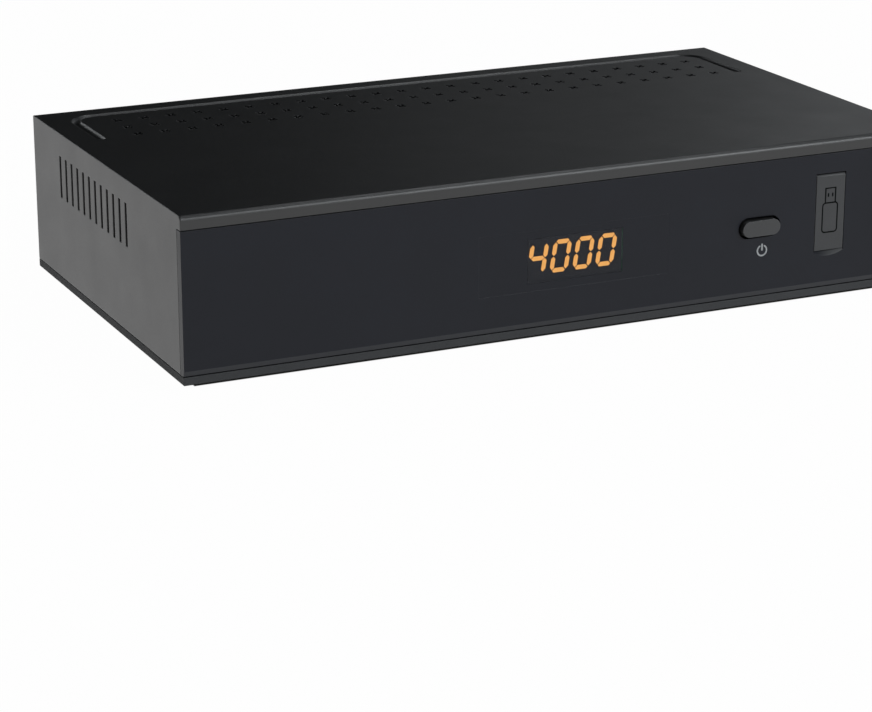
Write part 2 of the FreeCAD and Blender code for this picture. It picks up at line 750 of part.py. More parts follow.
def front_panel():
    body = new_body("panel")
    profile = sketch_on(body, "panel_profile", "YZ_Plane", f"-{SIDE}")
    outline(
        profile,
        [
            (FRONT, f"{PANEL_LOW} + Size.panel_chamfer_height"),
            (f"{FRONT} + Size.panel_chamfer_depth", PANEL_LOW),
            (PANEL_BACK, PANEL_LOW),
            (PANEL_BACK, PANEL_HIGH),
            (FRONT, PANEL_HIGH),
        ],
    )
    feature(body, "Pad", "panel_plate", profile, "Size.case_width")

    side_out = f"({WALL} - Size.rim_clearance)"
    side_in = f"({side_out} - Size.panel_return_thickness)"
    return_y = (PANEL_BACK, f"({PANEL_BACK} + Size.panel_return_depth)")
    return_z = (f"({DECK} + Size.rim_height + Size.rim_clearance)", LIP)
    tongue_front = f"({FRONT} + Size.lip_thickness + Size.rim_clearance)"
    tongue_y = (tongue_front, f"({PANEL_BACK} + Size.panel_return_thickness)")
    tongue_z = (f"({PANEL_HIGH} - Size.panel_tongue_height)", f"({CEILING} - Size.rim_clearance)")
    added = [
        block("panel_return_left", (f"-{side_out}", f"-{side_in}"), return_y, return_z),
        block("panel_return_right", (side_in, side_out), return_y, return_z),
        block("panel_tongue", (f"-{side_out}", side_out), tongue_y, tongue_z),
    ]
    tools = []
    for i, x in enumerate(FRONT_SCREWS):
        start = (x, PANEL_BACK, "Size.front_screw_z")
        added.append(rod(f"panel_post_{i}", "Y", start, "Size.front_post_radius", f"{FRONT_BOARD} - {PANEL_BACK}"))
        hole_start = f"({FRONT_BOARD_BACK} - Size.front_screw_length - Size.head_clearance)"
        hole = (x, hole_start, "Size.front_screw_z")
        tools.append(rod(f"panel_post_hole_{i}", "Y", hole, SCREW_HOLE, f"{FRONT_BOARD} - {hole_start}"))

    through = (f"({FRONT} - 1)", f"({PANEL_BACK} + 1)")
    length = "(Size.button_length + 2 * Size.button_gap)"
    height = "(Size.button_height + 2 * Size.button_gap)"
    tools.append(stadium("button_hole", "Size.button_x", "Size.button_z", length, height, through))

    window_x = around("Size.display_x", "Size.window_width")
    window_z = around("Size.display_z", "Size.window_height")
    opening_x = around("Size.display_x", "(Size.window_width - 2 * Size.window_ledge)")
    opening_z = around("Size.display_z", "(Size.window_height - 2 * Size.window_ledge)")
    tools.append(block("window_seat", window_x, (through[0], f"({FRONT} + Size.window_thickness)"), window_z))
    tools.append(block("window_opening", opening_x, through, opening_z))
    tools += flap_opening(through)
    keep(cut("front_panel", join("panel_blank", [body] + added), tools), "front_panel")


def flap_opening(through):
    """The tools that make the flap's recess: its seat, the way through, the hinge space, pin bores and scoop."""
    width = "(Size.flap_width + 2 * Size.flap_gap)"
    inner_width = f"({width} - 2 * Size.flap_ledge)"
    top = "(Size.flap_top + Size.flap_top_gap)"
    low = f"({FLAP_LOW} - Size.flap_gap)"
    seat_y = (through[0], f"({FRONT} + Size.flap_thickness + Size.flap_ledge_gap)")
    hinge_z = (f"({FLAP_AXIS_Z} - 2 * Size.flap_knuckle)", top)
    seat = block("flap_seat", around("Size.flap_x", width), seat_y, (low, top))
    inner = block("flap_way", around("Size.flap_x", inner_width), through, (f"({low} + Size.flap_ledge)", top))
    hinge = block("flap_hinge_space", around("Size.flap_x", width), through, hinge_z)
    reach = "(Size.flap_width + 2 * (Size.flap_pin_length + Size.flap_pin_end_gap))"
    start = (f"(Size.flap_x - {reach} / 2)", FLAP_AXIS_Y, FLAP_AXIS_Z)
    bore = rod("flap_pin_bore", "X", start, "(Size.flap_pin_radius + Size.flap_pin_clearance)", reach)

    ball_radius = "((Size.scoop_radius ^ 2 + Size.scoop_depth ^ 2) / (2 * Size.scoop_depth))"
    scoop_low = f"({FLAP_LOW} - Size.scoop_below_flap)"
    ball = bind(doc.addObject("Part::Sphere", "scoop_ball"), Radius=ball_radius)
    place(ball, "Size.flap_x", f"{FRONT} + Size.scoop_depth - {ball_radius}", f"{scoop_low} + Size.scoop_radius")
    bounds = block("scoop_bounds", around("Size.flap_x", width), through, (f"({scoop_low} - 1)", f"({FLAP_LOW} + 1)"))
    scoop = doc.addObject("Part::MultiCommon", "scoop")
    scoop.Shapes = [ball, bounds]
    return [seat, inner, hinge, bore, scoop]


def display_window():
    window_y = (FRONT, f"({FRONT} + Size.window_thickness)")
    window_x = around("Size.display_x", "Size.window_width")
    window_z = around("Size.display_z", "Size.window_height")
    keep(block("display_window", window_x, window_y, window_z), "display_window")


def power_button():
    flange_y = from_low(f"({PANEL_BACK} + Size.button_flange_gap)", "Size.button_flange_thickness")
    cap_y = (f"({FRONT} - Size.button_proud)", flange_y[0])
    cap = stadium("button_cap", "Size.button_x", "Size.button_z", "Size.button_length", "Size.button_height", cap_y)
    grow = "2 * (Size.button_gap + Size.button_flange)"
    length, height = f"(Size.button_length + {grow})", f"(Size.button_height + {grow})"
    flange = stadium("button_flange", "Size.button_x", "Size.button_z", length, height, flange_y)
    start = ("Size.button_x", flange_y[1], "Size.button_z")
    stem = rod("button_stem", "Y", start, "Size.button_stem_radius", f"{PLUNGER_TIP} - {flange_y[1]}")
    keep(join("power_button", [cap, flange, stem]), "power_button")


def power_switch():
    body_y = (f"({FRONT_BOARD} - Size.switch_thickness)", FRONT_BOARD)
    across = around("Size.button_x", "Size.switch_width")
    up = around("Size.button_z", "Size.switch_width")
    box = block("switch_box", across, body_y, up)
    mouth = ("Size.button_x", body_y[0], "Size.button_z")
    radius = "Size.plunger_radius + Size.plunger_gap"
    hole = rod("switch_hole", "Y", mouth, radius, "Size.plunger_hole_depth")
    keep(cut("switch_body", box, [hole]), "switch_body")
    inside = "(Size.plunger_hole_depth - Size.button_travel - Size.plunger_gap)"
    start = ("Size.button_x", PLUNGER_TIP, "Size.button_z")
    plunger = rod("switch_plunger", "Y", start, "Size.plunger_radius", f"Size.plunger_show + {inside}")
    keep(plunger, "switch_plunger")


def socket_flap():
    body = new_body("flap")
    profile = sketch_on(body, "flap_profile", "YZ_Plane", "Size.flap_x - Size.flap_width / 2")
    back = f"{FRONT} + Size.flap_thickness"
    knuckle_back = f"{FRONT} + 2 * Size.flap_knuckle"
    step = "(2 * Size.flap_knuckle - Size.flap_thickness)"
    outline(
        profile,
        [
            (FRONT, FLAP_LOW),
            (back, FLAP_LOW),
            (back, f"{FLAP_AXIS_Z} - Size.flap_knuckle - {step}"),
            (knuckle_back, f"{FLAP_AXIS_Z} - Size.flap_knuckle"),
            (knuckle_back, "Size.flap_top"),
            (FRONT, "Size.flap_top"),
        ],
    )
    feature(body, "Pad", "flap_plate", profile, "Size.flap_width")
    front, rear, top = value(FRONT), value(knuckle_back), value("Size.flap_top")
    soften(body, "flap_knuckle", "Size.flap_knuckle", lambda edge: edge_lies(edge, y=rear, z=top))
    soften(body, "flap_front_edge", "Size.flap_edge_radius", lambda edge: edge_lies(edge, y=front, z=top))
    reach = "(Size.flap_width + 2 * Size.flap_pin_length)"
    start = (f"Size.flap_x - {reach} / 2", FLAP_AXIS_Y, FLAP_AXIS_Z)
    pin = rod("flap_pin", "X", start, "Size.flap_pin_radius", reach)
    keep(join("socket_flap", [body, pin]), "socket_flap")


def front_socket():
    face = f"({FRONT} + Size.front_socket_setback)"
    shell = block(
        "front_socket_shell",
        around("Size.flap_x", "Size.front_socket_width"),
        from_low(face, "Size.front_socket_depth"),
        around(FLAP_MIDDLE, "Size.front_socket_height"),
    )
    cavity = block(
        "front_socket_cavity",
        around("Size.flap_x", "(Size.front_socket_width - 2 * Size.front_socket_wall)"),
        (face, f"({face} + Size.front_socket_depth - Size.front_socket_back_wall)"),
        around(FLAP_MIDDLE, "(Size.front_socket_height - 2 * Size.front_socket_wall)"),
    )
    keep(cut("front_socket", shell, [cavity]), "front_socket")
    tongue_back = f"({face} + Size.front_socket_depth - Size.front_socket_back_wall)"
    tongue = block(
        "front_socket_tongue",
        around("(Size.flap_x + Size.front_socket_tongue_offset)", "Size.front_socket_tongue_thickness"),
        (f"({tongue_back} - Size.front_socket_tongue_depth)", tongue_back),
        around(FLAP_MIDDLE, "Size.front_socket_tongue_height"),
    )
    keep(tongue, "front_socket_tongue")


def segment_shapes():
    """The corners of each segment of one digit, by its usual letter, about the digit's middle."""
    t = value("Size.segment_width") / 2
    w = (value("Size.digit_width") - 2 * t) / 2
    h = (value("Size.digit_height") - 2 * t) / 2
    gap = value("Size.segment_gap") * math.sqrt(2) / 2
    waist = value("Size.segment_waist_gap")
    cut_across = value("Size.digit_cut_across")
    cut_up = value("Size.digit_cut_up")
    upright_end = value("Size.corner_gap_shift") - gap
    level_end = value("Size.corner_gap_shift") + gap

    def tip(shift):
        """Where a segment's slanted end, moved by the shift, meets the cut across the digit's outer corner."""
        inward = (1 + shift / cut_up) / (1 / cut_across + 1 / cut_up)
        return (-w - t + inward, h + t - inward + shift)

    top = [(-w + t + level_end, h - t), tip(level_end), (-w - t + cut_across, h + t)]
    top += [(-x, z) for x, z in reversed(top)]
    upper_left = [
        (-w + t, h - t + upright_end),
        tip(upright_end),
        (-w - t, h + t - cut_up),
        (-w - t, t + waist),
        (-w, waist),
        (-w + t, t + waist),
    ]
    middle = [(-w + gap, 0), (-w + t + gap, t), (w - t - gap, t), (w - gap, 0), (w - t - gap, -t), (-w + t + gap, -t)]

    def flip(points, sx, sz):
        return [(sx * x, sz * z) for x, z in points]

    return {
        "a": top,
        "b": flip(upper_left, -1, 1),
        "c": flip(upper_left, -1, -1),
        "d": flip(top, 1, -1),
        "e": flip(upper_left, 1, -1),
        "f": upper_left,
        "g": middle,
    }


def display():
    back = f"({DISPLAY_FACE} + Size.display_depth)"
    across = around("Size.display_x", "Size.display_width")
    up = around("Size.display_z", "Size.display_height")
    keep(block("display_module", across, (DISPLAY_FACE, back), up), "display_module")

    lean = math.tan(math.radians(value("Size.digit_slant")))
    shapes = segment_shapes()
    height = value("Size.segment_height")
    solids = []
    for place_index, letters in enumerate(("bcfg", "abcdef", "abcdef", "abcdef")):
        middle = value("Size.display_x") + (place_index - 1.5) * value("Size.digit_pitch")
        for letter in letters:
            points = [
                Vector(middle + x + z * lean, value(DISPLAY_FACE), value("Size.display_z") + z)
                for x, z in shapes[letter]
            ]
            face = Part.Face(Part.makePolygon(points + points[:1]))
            solids.append(face.extrude(Vector(0, -height, 0)))
    lit = doc.addObject("Part::Feature", "display_segments")
    lit.Shape = Part.Compound(solids)
    keep(lit, "display_segments")


def infrared_receiver():
    x = "(Size.display_x - Size.receiver_offset)"
    front = f"({FRONT_BOARD} - Size.receiver_thickness)"
    up = around("Size.display_z", "Size.receiver_height")
    case = block("receiver_case", around(x, "Size.receiver_width"), (front, FRONT_BOARD), up)
    dome = bind(doc.addObject("Part::Sphere", "receiver_dome"), Radius="Size.receiver_dome")
    place(dome, x, f"{front} + Size.receiver_dome - Size.receiver_dome_show", "Size.display_z")
    keep(join("infrared_receiver", [case, dome]), "infrared_receiver")


def front_board():
    thick = (FRONT_BOARD, FRONT_BOARD_BACK)
    across = ("Size.front_board_left", "Size.front_board_right")
    plate = block("front_board_plate", across, thick, ("Size.front_board_low", "Size.front_board_high"))
    notch = block(
        "front_board_notch",
        around("Size.flap_x", "(Size.front_socket_width + 2 * Size.front_socket_board_gap)"),
        thick,
        around(FLAP_MIDDLE, "(Size.front_socket_height + 2 * Size.front_socket_board_gap)"),
    )
    holes = [
        rod(f"front_board_hole_{i}", "Y", (x, FRONT_BOARD, "Size.front_screw_z"), SCREW_HOLE, "Size.board_thickness")
        for i, x in enumerate(FRONT_SCREWS)
    ]
    keep(cut("front_board", plate, [notch] + holes), "front_board")
    screws = [
        screw(f"front_screw_{i}", "Y", (x, "Size.front_screw_z"), FRONT_BOARD_BACK, 1, "Size.front_screw_length")
        for i, x in enumerate(FRONT_SCREWS)
    ]
    keep(group("front_board_screws", screws), "front_board_screws")


# Main board and what stands on it


def main_board():
    across = (f"-{BOARD_SIDE}", BOARD_SIDE)
    plate = block("main_board_plate", across, (BOARD_FRONT, BOARD_BACK), (BOARD_LOW, BOARD))
    holes = [
        rod(f"main_board_hole_{i}", "Z", (x, y, BOARD_LOW), SCREW_HOLE, "Size.board_thickness")
        for i, (x, y) in enumerate(BOARD_SCREWS)
    ]
    keep(cut("main_board", plate, holes), "main_board")
    screws = [
        screw(f"board_screw_{i}", "Z", at, BOARD, 1, "Size.board_screw_length") for i, at in enumerate(BOARD_SCREWS)
    ]
    keep(group("board_screws", screws), "board_screws")


def chips():
    chip_top = f"({BOARD} + Size.chip_thickness)"
    chip_x = around("Size.chip_x", "Size.chip_side")
    keep(block("main_chip", chip_x, around(CHIP_Y, "Size.chip_side"), (BOARD, chip_top)), "main_chip")

    across, deep = around("Size.chip_x", "Size.sink_side"), around(CHIP_Y, "Size.sink_side")
    base_top = f"({chip_top} + Size.sink_base)"
    sink = [block("sink_base_plate", across, deep, (chip_top, base_top))]
    pitch = "((Size.sink_side - Size.sink_fin_thickness) / (Size.sink_fins - 1))"
    for i in range(SIZES["sink_fins"]):
        fin_x = from_low(f"({across[0]} + {i} * {pitch})", "Size.sink_fin_thickness")
        sink.append(block(f"sink_fin_{i}", fin_x, deep, (base_top, f"({chip_top} + Size.sink_height)")))
    keep(join("heat_sink", sink), "heat_sink")

    memory_x = from_low(f"({chip_x[1]} + Size.memory_gap)", "Size.memory_width")
    memory = []
    for i, side in enumerate((-1, 1)):
        y = around(f"({CHIP_Y} + {side} * Size.memory_pitch / 2)", "Size.memory_depth")
        memory.append(block(f"memory_{i}", memory_x, y, from_low(BOARD, "Size.memory_thickness")))
    keep(group("memory_chips", memory), "memory_chips")

    crystal_y = around(f"({BOARD_FRONT} + Size.crystal_from_front)", "Size.crystal_width")
    crystal_x = around("Size.crystal_x", "Size.crystal_length")
    keep(block("crystal", crystal_x, crystal_y, from_low(BOARD, "Size.crystal_height")), "crystal")


def power_parts():
    cans = []
    for i in range(SIZES["capacitor_count"]):
        y = f"({BOARD_FRONT} + Size.capacitor_from_front + {i} * Size.capacitor_pitch)"
        start = ("Size.capacitor_x", y, BOARD)
        cans.append(rod(f"capacitor_{i}", "Z", start, "Size.capacitor_radius", "Size.capacitor_height"))
    keep(group("capacitors", cans), "capacitors")
    coils = []
    for i in range(2):
        y = f"({BOARD_FRONT} + Size.inductor_from_front + {i} * Size.inductor_pitch)"
        deep = around(y, "Size.inductor_side")
        across = around("Size.inductor_x", "Size.inductor_side")
        coils.append(block(f"inductor_{i}", across, deep, from_low(BOARD, "Size.inductor_height")))
    keep(group("inductors", coils), "inductors")


def card_reader():
    mouth = f"({WALL} - Size.reader_wall_gap)"
    deep = from_low(READER_FRONT, "Size.reader_depth")
    case = block("reader_case", ("Size.reader_left", mouth), deep, from_low(BOARD, "Size.reader_height"))
    slot_x = (f"({mouth} - Size.card_slot_length)", mouth)
    slot = block(
        "reader_slot", slot_x, around(READER_Y, "Size.card_slot_width"), around(CARD_Z, "Size.card_slot_height")
    )
    keep(cut("card_reader", case, [slot]), "card_reader")


def ribbon():
    low_y = f"({BOARD_FRONT} + Size.header_from_front)"
    across = around("Size.header_x", "Size.header_width")
    low = block("main_header", across, from_low(low_y, "Size.header_depth"), from_low(BOARD, "Size.header_height"))
    high_y = from_low(FRONT_BOARD_BACK, "Size.header_height")
    high = block("front_header", across, high_y, around("Size.header_z", "Size.header_depth"))
    keep(group("board_headers", [low, high]), "board_headers")

    body = new_body("ribbon")
    profile = sketch_on(body, "ribbon_profile", "YZ_Plane", "Size.header_x - Size.ribbon_width / 2")
    near, far = around(f"({low_y} + Size.header_depth / 2)", "Size.ribbon_thickness")
    under, over = around("Size.header_z", "Size.ribbon_thickness")
    foot = f"({BOARD} + Size.header_height)"
    outline(profile, [(high_y[1], under), (near, under), (near, foot), (far, foot), (far, over), (high_y[1], over)])
    feature(body, "Pad", "ribbon_sheet", profile, "Size.ribbon_width")
    inner = {"y": value(near), "z": value(under)}
    outer = {"y": value(far), "z": value(over)}
    soften(body, "ribbon_inner_bend", "Size.ribbon_bend", lambda edge: edge_lies(edge, **inner))
    outer_bend = "Size.ribbon_bend + Size.ribbon_thickness"
    soften(body, "ribbon_outer_bend", outer_bend, lambda edge: edge_lies(edge, **outer))
    keep(body, "ribbon_cable")


# Rear panel and its sockets


def tuner():
    across = ("Size.tuner_left", "Size.tuner_right")
    front = f"({BOARD_BACK} - Size.tuner_depth)"
    top = f"({BOARD} + Size.tuner_height)"
    can = block("tuner_box", across, (front, BOARD_BACK), (BOARD, top))
    hollow = block(
        "tuner_hollow",
        ("Size.tuner_left + Size.tuner_sheet", "Size.tuner_right - Size.tuner_sheet"),
        (f"({front} + Size.tuner_sheet)", f"({BOARD_BACK} - Size.tuner_sheet)"),
        (f"({BOARD} + Size.tuner_sheet)", top),
    )
    keep(cut("tuner_can", can, [hollow]), "tuner_can")

    gap, sheet_size = "Size.tuner_lid_gap", "(Size.tuner_lid_gap + Size.tuner_lid_sheet)"
    low = f"({top} - Size.tuner_lid_skirt)"
    lid = block(
        "tuner_lid_blank",
        (f"(Size.tuner_left - {sheet_size})", f"(Size.tuner_right + {sheet_size})"),
        (f"({front} - {sheet_size})", BOARD_BACK),
        (low, f"({top} + Size.tuner_lid_sheet)"),
    )
    inside = block(
        "tuner_lid_inside",
        (f"(Size.tuner_left - {gap})", f"(Size.tuner_right + {gap})"),
        (f"({front} - {gap})", f"({BOARD_BACK} + 1)"),
        (low, top),
    )
    keep(cut("tuner_lid", lid, [inside]), "tuner_lid")


def lnb_socket(name, x):
    start, bore_start = (x, BOARD_BACK, LNB_Z), (x, f"{BOARD_BACK} + 1", LNB_Z)
    shank = rod(f"{name}_shank", "Y", start, "Size.lnb_shank_radius", f"{LNB_NOSE_START} - {BOARD_BACK}")
    nose = rod(f"{name}_nose", "Y", (x, LNB_NOSE_START, LNB_Z), "Size.lnb_nose_radius", "Size.lnb_nose")
    bore = rod(f"{name}_bore", "Y", bore_start, "Size.lnb_bore_radius", f"{LNB_TIP} - {BOARD_BACK}")
    keep(cut(name, join(f"{name}_blank", [shank, nose]), [bore]), name)

    insert_radius = "Size.lnb_bore_radius - Size.lnb_insert_gap"
    insert_length = f"{LNB_TIP} - {BOARD_BACK} - 1 - Size.lnb_insert_inset"
    plug = rod(f"{name}_insert_blank", "Y", bore_start, insert_radius, insert_length)
    contact = rod(f"{name}_contact", "Y", bore_start, "Size.lnb_contact_radius", f"{LNB_TIP} - {BOARD_BACK}")
    insert = cut(f"{name}_insert", plug, [contact])

    hexagon = doc.addObject("Part::Prism", f"{name}_hexagon")
    hexagon.Polygon = 6
    hexagon.Placement = Placement(Vector(0, 0, 0), Rotation(Vector(1, 0, 0), -90))
    bind(hexagon, Circumradius="Size.lnb_nut_flats / sqrt(3)", Height="Size.lnb_nut")
    place(hexagon, x, REAR_FACE, LNB_Z)
    nut_radius = "Size.lnb_shank_radius + Size.lnb_nut_clearance"
    nut_bore = rod(f"{name}_nut_bore", "Y", (x, REAR_FACE, LNB_Z), nut_radius, "Size.lnb_nut")
    return insert, cut(f"{name}_nut", hexagon, [nut_bore])


def lnb_sockets():
    made = [lnb_socket("lnb_in_socket", "Size.lnb_in_x"), lnb_socket("lnb_out_socket", "Size.lnb_out_x")]
    keep(group("lnb_inserts", [insert for insert, nut in made]), "lnb_inserts")
    keep(group("lnb_nuts", [nut for insert, nut in made]), "lnb_nuts")


def av_socket():
    body = new_body("av")
    middle = f"({BOARD} + Size.av_height / 2)"
    face = sketch_on(body, "av_face", "XZ_Plane", f"-{SOCKET_FACE}")
    rectangle(face, around("Size.av_x", "Size.av_width"), around(middle, "Size.av_height"))
    feature(body, "Pad", "av_block", face, "Size.av_depth")
    ring = sketch_on(body, "av_ring", "XZ_Plane", f"-{SOCKET_FACE}")
    for grow in ("0", "Size.av_ring"):
        x = around("Size.av_x", f"(Size.av_core_width + 2 * {grow})")
        z = around(middle, f"(Size.av_core_height + 2 * {grow})")
        cut_back = f"(Size.av_corner + {grow} * (2 - sqrt(2)))"
        corners = [(x[0], z[0]), (x[1], z[0]), (x[1], z[1]), (f"{x[0]} + {cut_back}", z[1])]
        outline(ring, corners + [(x[0], f"{z[1]} - {cut_back}")])
    feature(body, "Pocket", "av_groove", ring, "Size.av_ring_depth", Reversed=True)

    ears, tools = [], []
    ear_y = (f"({REAR_INSIDE} - Size.av_flange_thickness)", REAR_INSIDE)
    for i, (side, row) in enumerate(((-1, -1), (1, 1))):
        edge = f"(Size.av_x + {side} * Size.av_width / 2)"
        ear_x = sorted((edge, f"({edge} + {side} * Size.av_flange)"), key=value)
        ears.append(block(f"av_ear_{i}", ear_x, ear_y, around(middle, "Size.av_height")))
        hole = (AV_SCREWS[i], ear_y[0], middle)
        tools.append(rod(f"av_ear_hole_{i}", "Y", hole, SCREW_HOLE, "Size.av_flange_thickness"))
        for j in range(10):
            shift = f"(({j} - 4.5) * Size.av_slot_pitch + {row} * Size.av_slot_pitch / 4)"
            x = around(f"(Size.av_x + {shift})", "Size.av_slot_width")
            z = around(f"({middle} + {row} * Size.av_slot_rise)", "Size.av_slot_height")
            depth = (f"({SOCKET_FACE} - Size.av_ring_depth)", SOCKET_FACE)
            tools.append(block(f"av_slot_{i}_{j}", x, depth, z))
    keep(cut("av_socket", join("av_blank", [body] + ears), tools), "av_socket")
    screws = [
        screw(f"socket_screw_{i}", "Y", (x, middle), REAR_FACE, 1, "Size.socket_screw_length")
        for i, x in enumerate(AV_SCREWS)
    ]
    keep(group("socket_screws", screws), "socket_screws")


def video_outline(sketch, wall):
    """The video socket's outline: a rectangle whose lower corners are cut back, drawn a wall inside the shell."""
    half = f"(Size.video_width / 2 - {wall})"
    left, right = f"(Size.video_x - {half})", f"(Size.video_x + {half})"
    low, high = f"({BOARD} + {wall})", f"({BOARD} + Size.video_height - {wall})"
    corner = "Size.video_corner"
    cuts = [(left, f"{low} + {corner}"), (f"{left} + {corner}", low), (f"{right} - {corner}", low)]
    outline(sketch, cuts + [(right, f"{low} + {corner}"), (right, high), (left, high)])


def video_socket():
    body = new_body("video")
    face = sketch_on(body, "video_face", "XZ_Plane", f"-{SOCKET_FACE}")
    video_outline(face, "0")
    feature(body, "Pad", "video_shell", face, "Size.video_depth")
    mouth = sketch_on(body, "video_mouth", "XZ_Plane", f"-{SOCKET_FACE}")
    video_outline(mouth, "Size.video_wall")
    feature(body, "Pocket", "video_cavity", mouth, "Size.video_cavity_depth", Reversed=True)
    keep(body, "video_socket")
    back = f"({SOCKET_FACE} - Size.video_cavity_depth)"
    tongue = block(
        "video_socket_tongue",
        around("Size.video_x", "Size.video_socket_tongue_width"),
        from_low(back, "Size.video_socket_tongue_depth"),
        around(f"({BOARD} + Size.video_height / 2)", "Size.video_socket_tongue_thickness"),
    )
    keep(tongue, "video_socket_tongue")


def audio_socket():
    deep = (f"({REAR_INSIDE} - Size.audio_depth)", REAR_INSIDE)
    across = around("Size.audio_x", "Size.audio_width")
    case = block("audio_case", across, deep, from_low(BOARD, "Size.audio_height"))
    z = f"({BOARD} + Size.audio_centre)"
    reach = f"{SOCKET_FACE} - {REAR_INSIDE}"
    boss = rod("audio_boss", "Y", ("Size.audio_x", REAR_INSIDE, z), "Size.audio_boss_radius", reach)
    keep(join("audio_socket", [case, boss]), "audio_socket")

    start = ("Size.audio_x", SOCKET_FACE, z)
    tube = rod("audio_tube", "Y", start, "Size.audio_barrel_radius", "Size.audio_barrel")
    bore = rod("audio_bore", "Y", start, "Size.audio_bore_radius", "Size.audio_barrel")
    keep(cut("audio_barrel", tube, [bore]), "audio_barrel")
    plug = rod("audio_plug", "Y", start, "Size.audio_bore_radius - Size.audio_insert_gap", "Size.audio_barrel")
    pin_hole = rod("audio_pin_hole", "Y", start, "Size.audio_pin_bore", "Size.audio_barrel")
    keep(cut("audio_insert", plug, [pin_hole]), "audio_insert")


def network_socket():
    deep = (f"({SOCKET_FACE} - Size.network_depth)", SOCKET_FACE)
    across = around("Size.network_x", "Size.network_width")
    case = block("network_case", across, deep, from_low(BOARD, "Size.network_height"))
    low = f"({BOARD} + Size.network_cavity_low)"
    cavity_y = (f"({SOCKET_FACE} - Size.network_cavity_depth)", SOCKET_FACE)
    cavity_x = around("Size.network_x", "Size.network_cavity_width")
    cavity = block("network_cavity", cavity_x, cavity_y, from_low(low, "Size.network_cavity_height"))
    latch_x = around("Size.network_x", "Size.network_latch_width")
    latch = block("network_latch", latch_x, cavity_y, (f"({low} - Size.network_latch_height)", low))
    keep(cut("network_socket", case, [cavity, latch]), "network_socket")


def dc_jack():
    deep = (f"({SOCKET_FACE} - Size.dc_depth)", SOCKET_FACE)
    case = block("dc_case", around("Size.dc_x", "Size.dc_width"), deep, from_low(BOARD, "Size.dc_height"))
    z = f"({BOARD} + Size.dc_centre)"
    start = ("Size.dc_x", f"{SOCKET_FACE} - Size.dc_bore_depth", z)
    bore = rod("dc_bore", "Y", start, "Size.dc_bore_radius", "Size.dc_bore_depth")
    keep(cut("dc_jack", case, [bore]), "dc_jack")
    pin = rod("dc_pin", "Y", start, "Size.dc_pin_radius", "Size.dc_bore_depth - Size.dc_pin_inset")
    keep(pin, "dc_pin")


def rear_panel():
    reach = f"({WALL} - Size.rear_clearance)"
    thick = (REAR_INSIDE, REAR_FACE)
    plate = block("rear_plate", (f"-{reach}", reach), thick, (DECK, f"({CEILING} - Size.rear_clearance)"))
    gap = "Size.rear_hole_clearance"
    audio_z = f"({BOARD} + Size.audio_centre)"
    tools = [
        rod(f"rear_hole_{i}", "Y", (x, REAR_INSIDE, z), f"{radius} + {gap}", "Size.rear_sheet")
        for i, (x, z, radius) in enumerate(
            [
                ("Size.lnb_in_x", LNB_Z, "Size.lnb_shank_radius"),
                ("Size.lnb_out_x", LNB_Z, "Size.lnb_shank_radius"),
                ("Size.audio_x", audio_z, "Size.audio_boss_radius"),
            ]
        )
    ]
    middle = f"({BOARD} + Size.av_height / 2)"
    for i, x in enumerate(AV_SCREWS):
        tools.append(rod(f"rear_screw_hole_{i}", "Y", (x, REAR_INSIDE, middle), SCREW_HOLE, "Size.rear_sheet"))
    for name in ("av", "video", "network", "dc"):
        across = around(f"Size.{name}_x", f"(Size.{name}_width + 2 * {gap})")
        up = (f"({BOARD} - {gap})", f"({BOARD} + Size.{name}_height + {gap})")
        tools.append(block(f"rear_{name}_hole", across, thick, up))
    keep(cut("rear_panel", plate, tools), "rear_panel")


def build():
    top_cover()
    bottom_case()
    feet()
    case_screws()
    front_panel()
    display_window()
    power_button()
    power_switch()
    socket_flap()
    front_socket()
    display()
    infrared_receiver()
    front_board()
    main_board()
    chips()
    power_parts()
    card_reader()
    ribbon()
    tuner()
    lnb_sockets()
    av_socket()
    video_socket()
    audio_socket()
    network_socket()
    dc_jack()
    rear_panel()
    doc.recompute()


def check():
    """Stop before anything is written if an object failed, a cut misses or a node's shape is unsound."""
    for item in doc.Objects:
        if "Invalid" in item.State or "Error" in item.State:
            raise RuntimeError(f"{item.Label}: {item.State}")
        if item.TypeId == "Part::Cut" and item.Shape.Volume > item.Base.Shape.Volume - 1e-6:
            raise RuntimeError(f"{item.Label}: the cut removes nothing")
    for node in nodes:
        if node.Shape.isNull() or not node.Shape.isValid() or not node.Shape.Solids:
            raise RuntimeError(f"{node.Label}: its shape is unsound")


def export():
    os.makedirs("parts", exist_ok=True)
    for node in nodes:
        node.Shape.exportStep(f"parts/{node.Label}.step")
        print(f"{node.Label}: {len(node.Shape.Solids)} solid(s), {node.Shape.Volume:.1f} mm3")


build()
check()
export()
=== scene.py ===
import json
import math

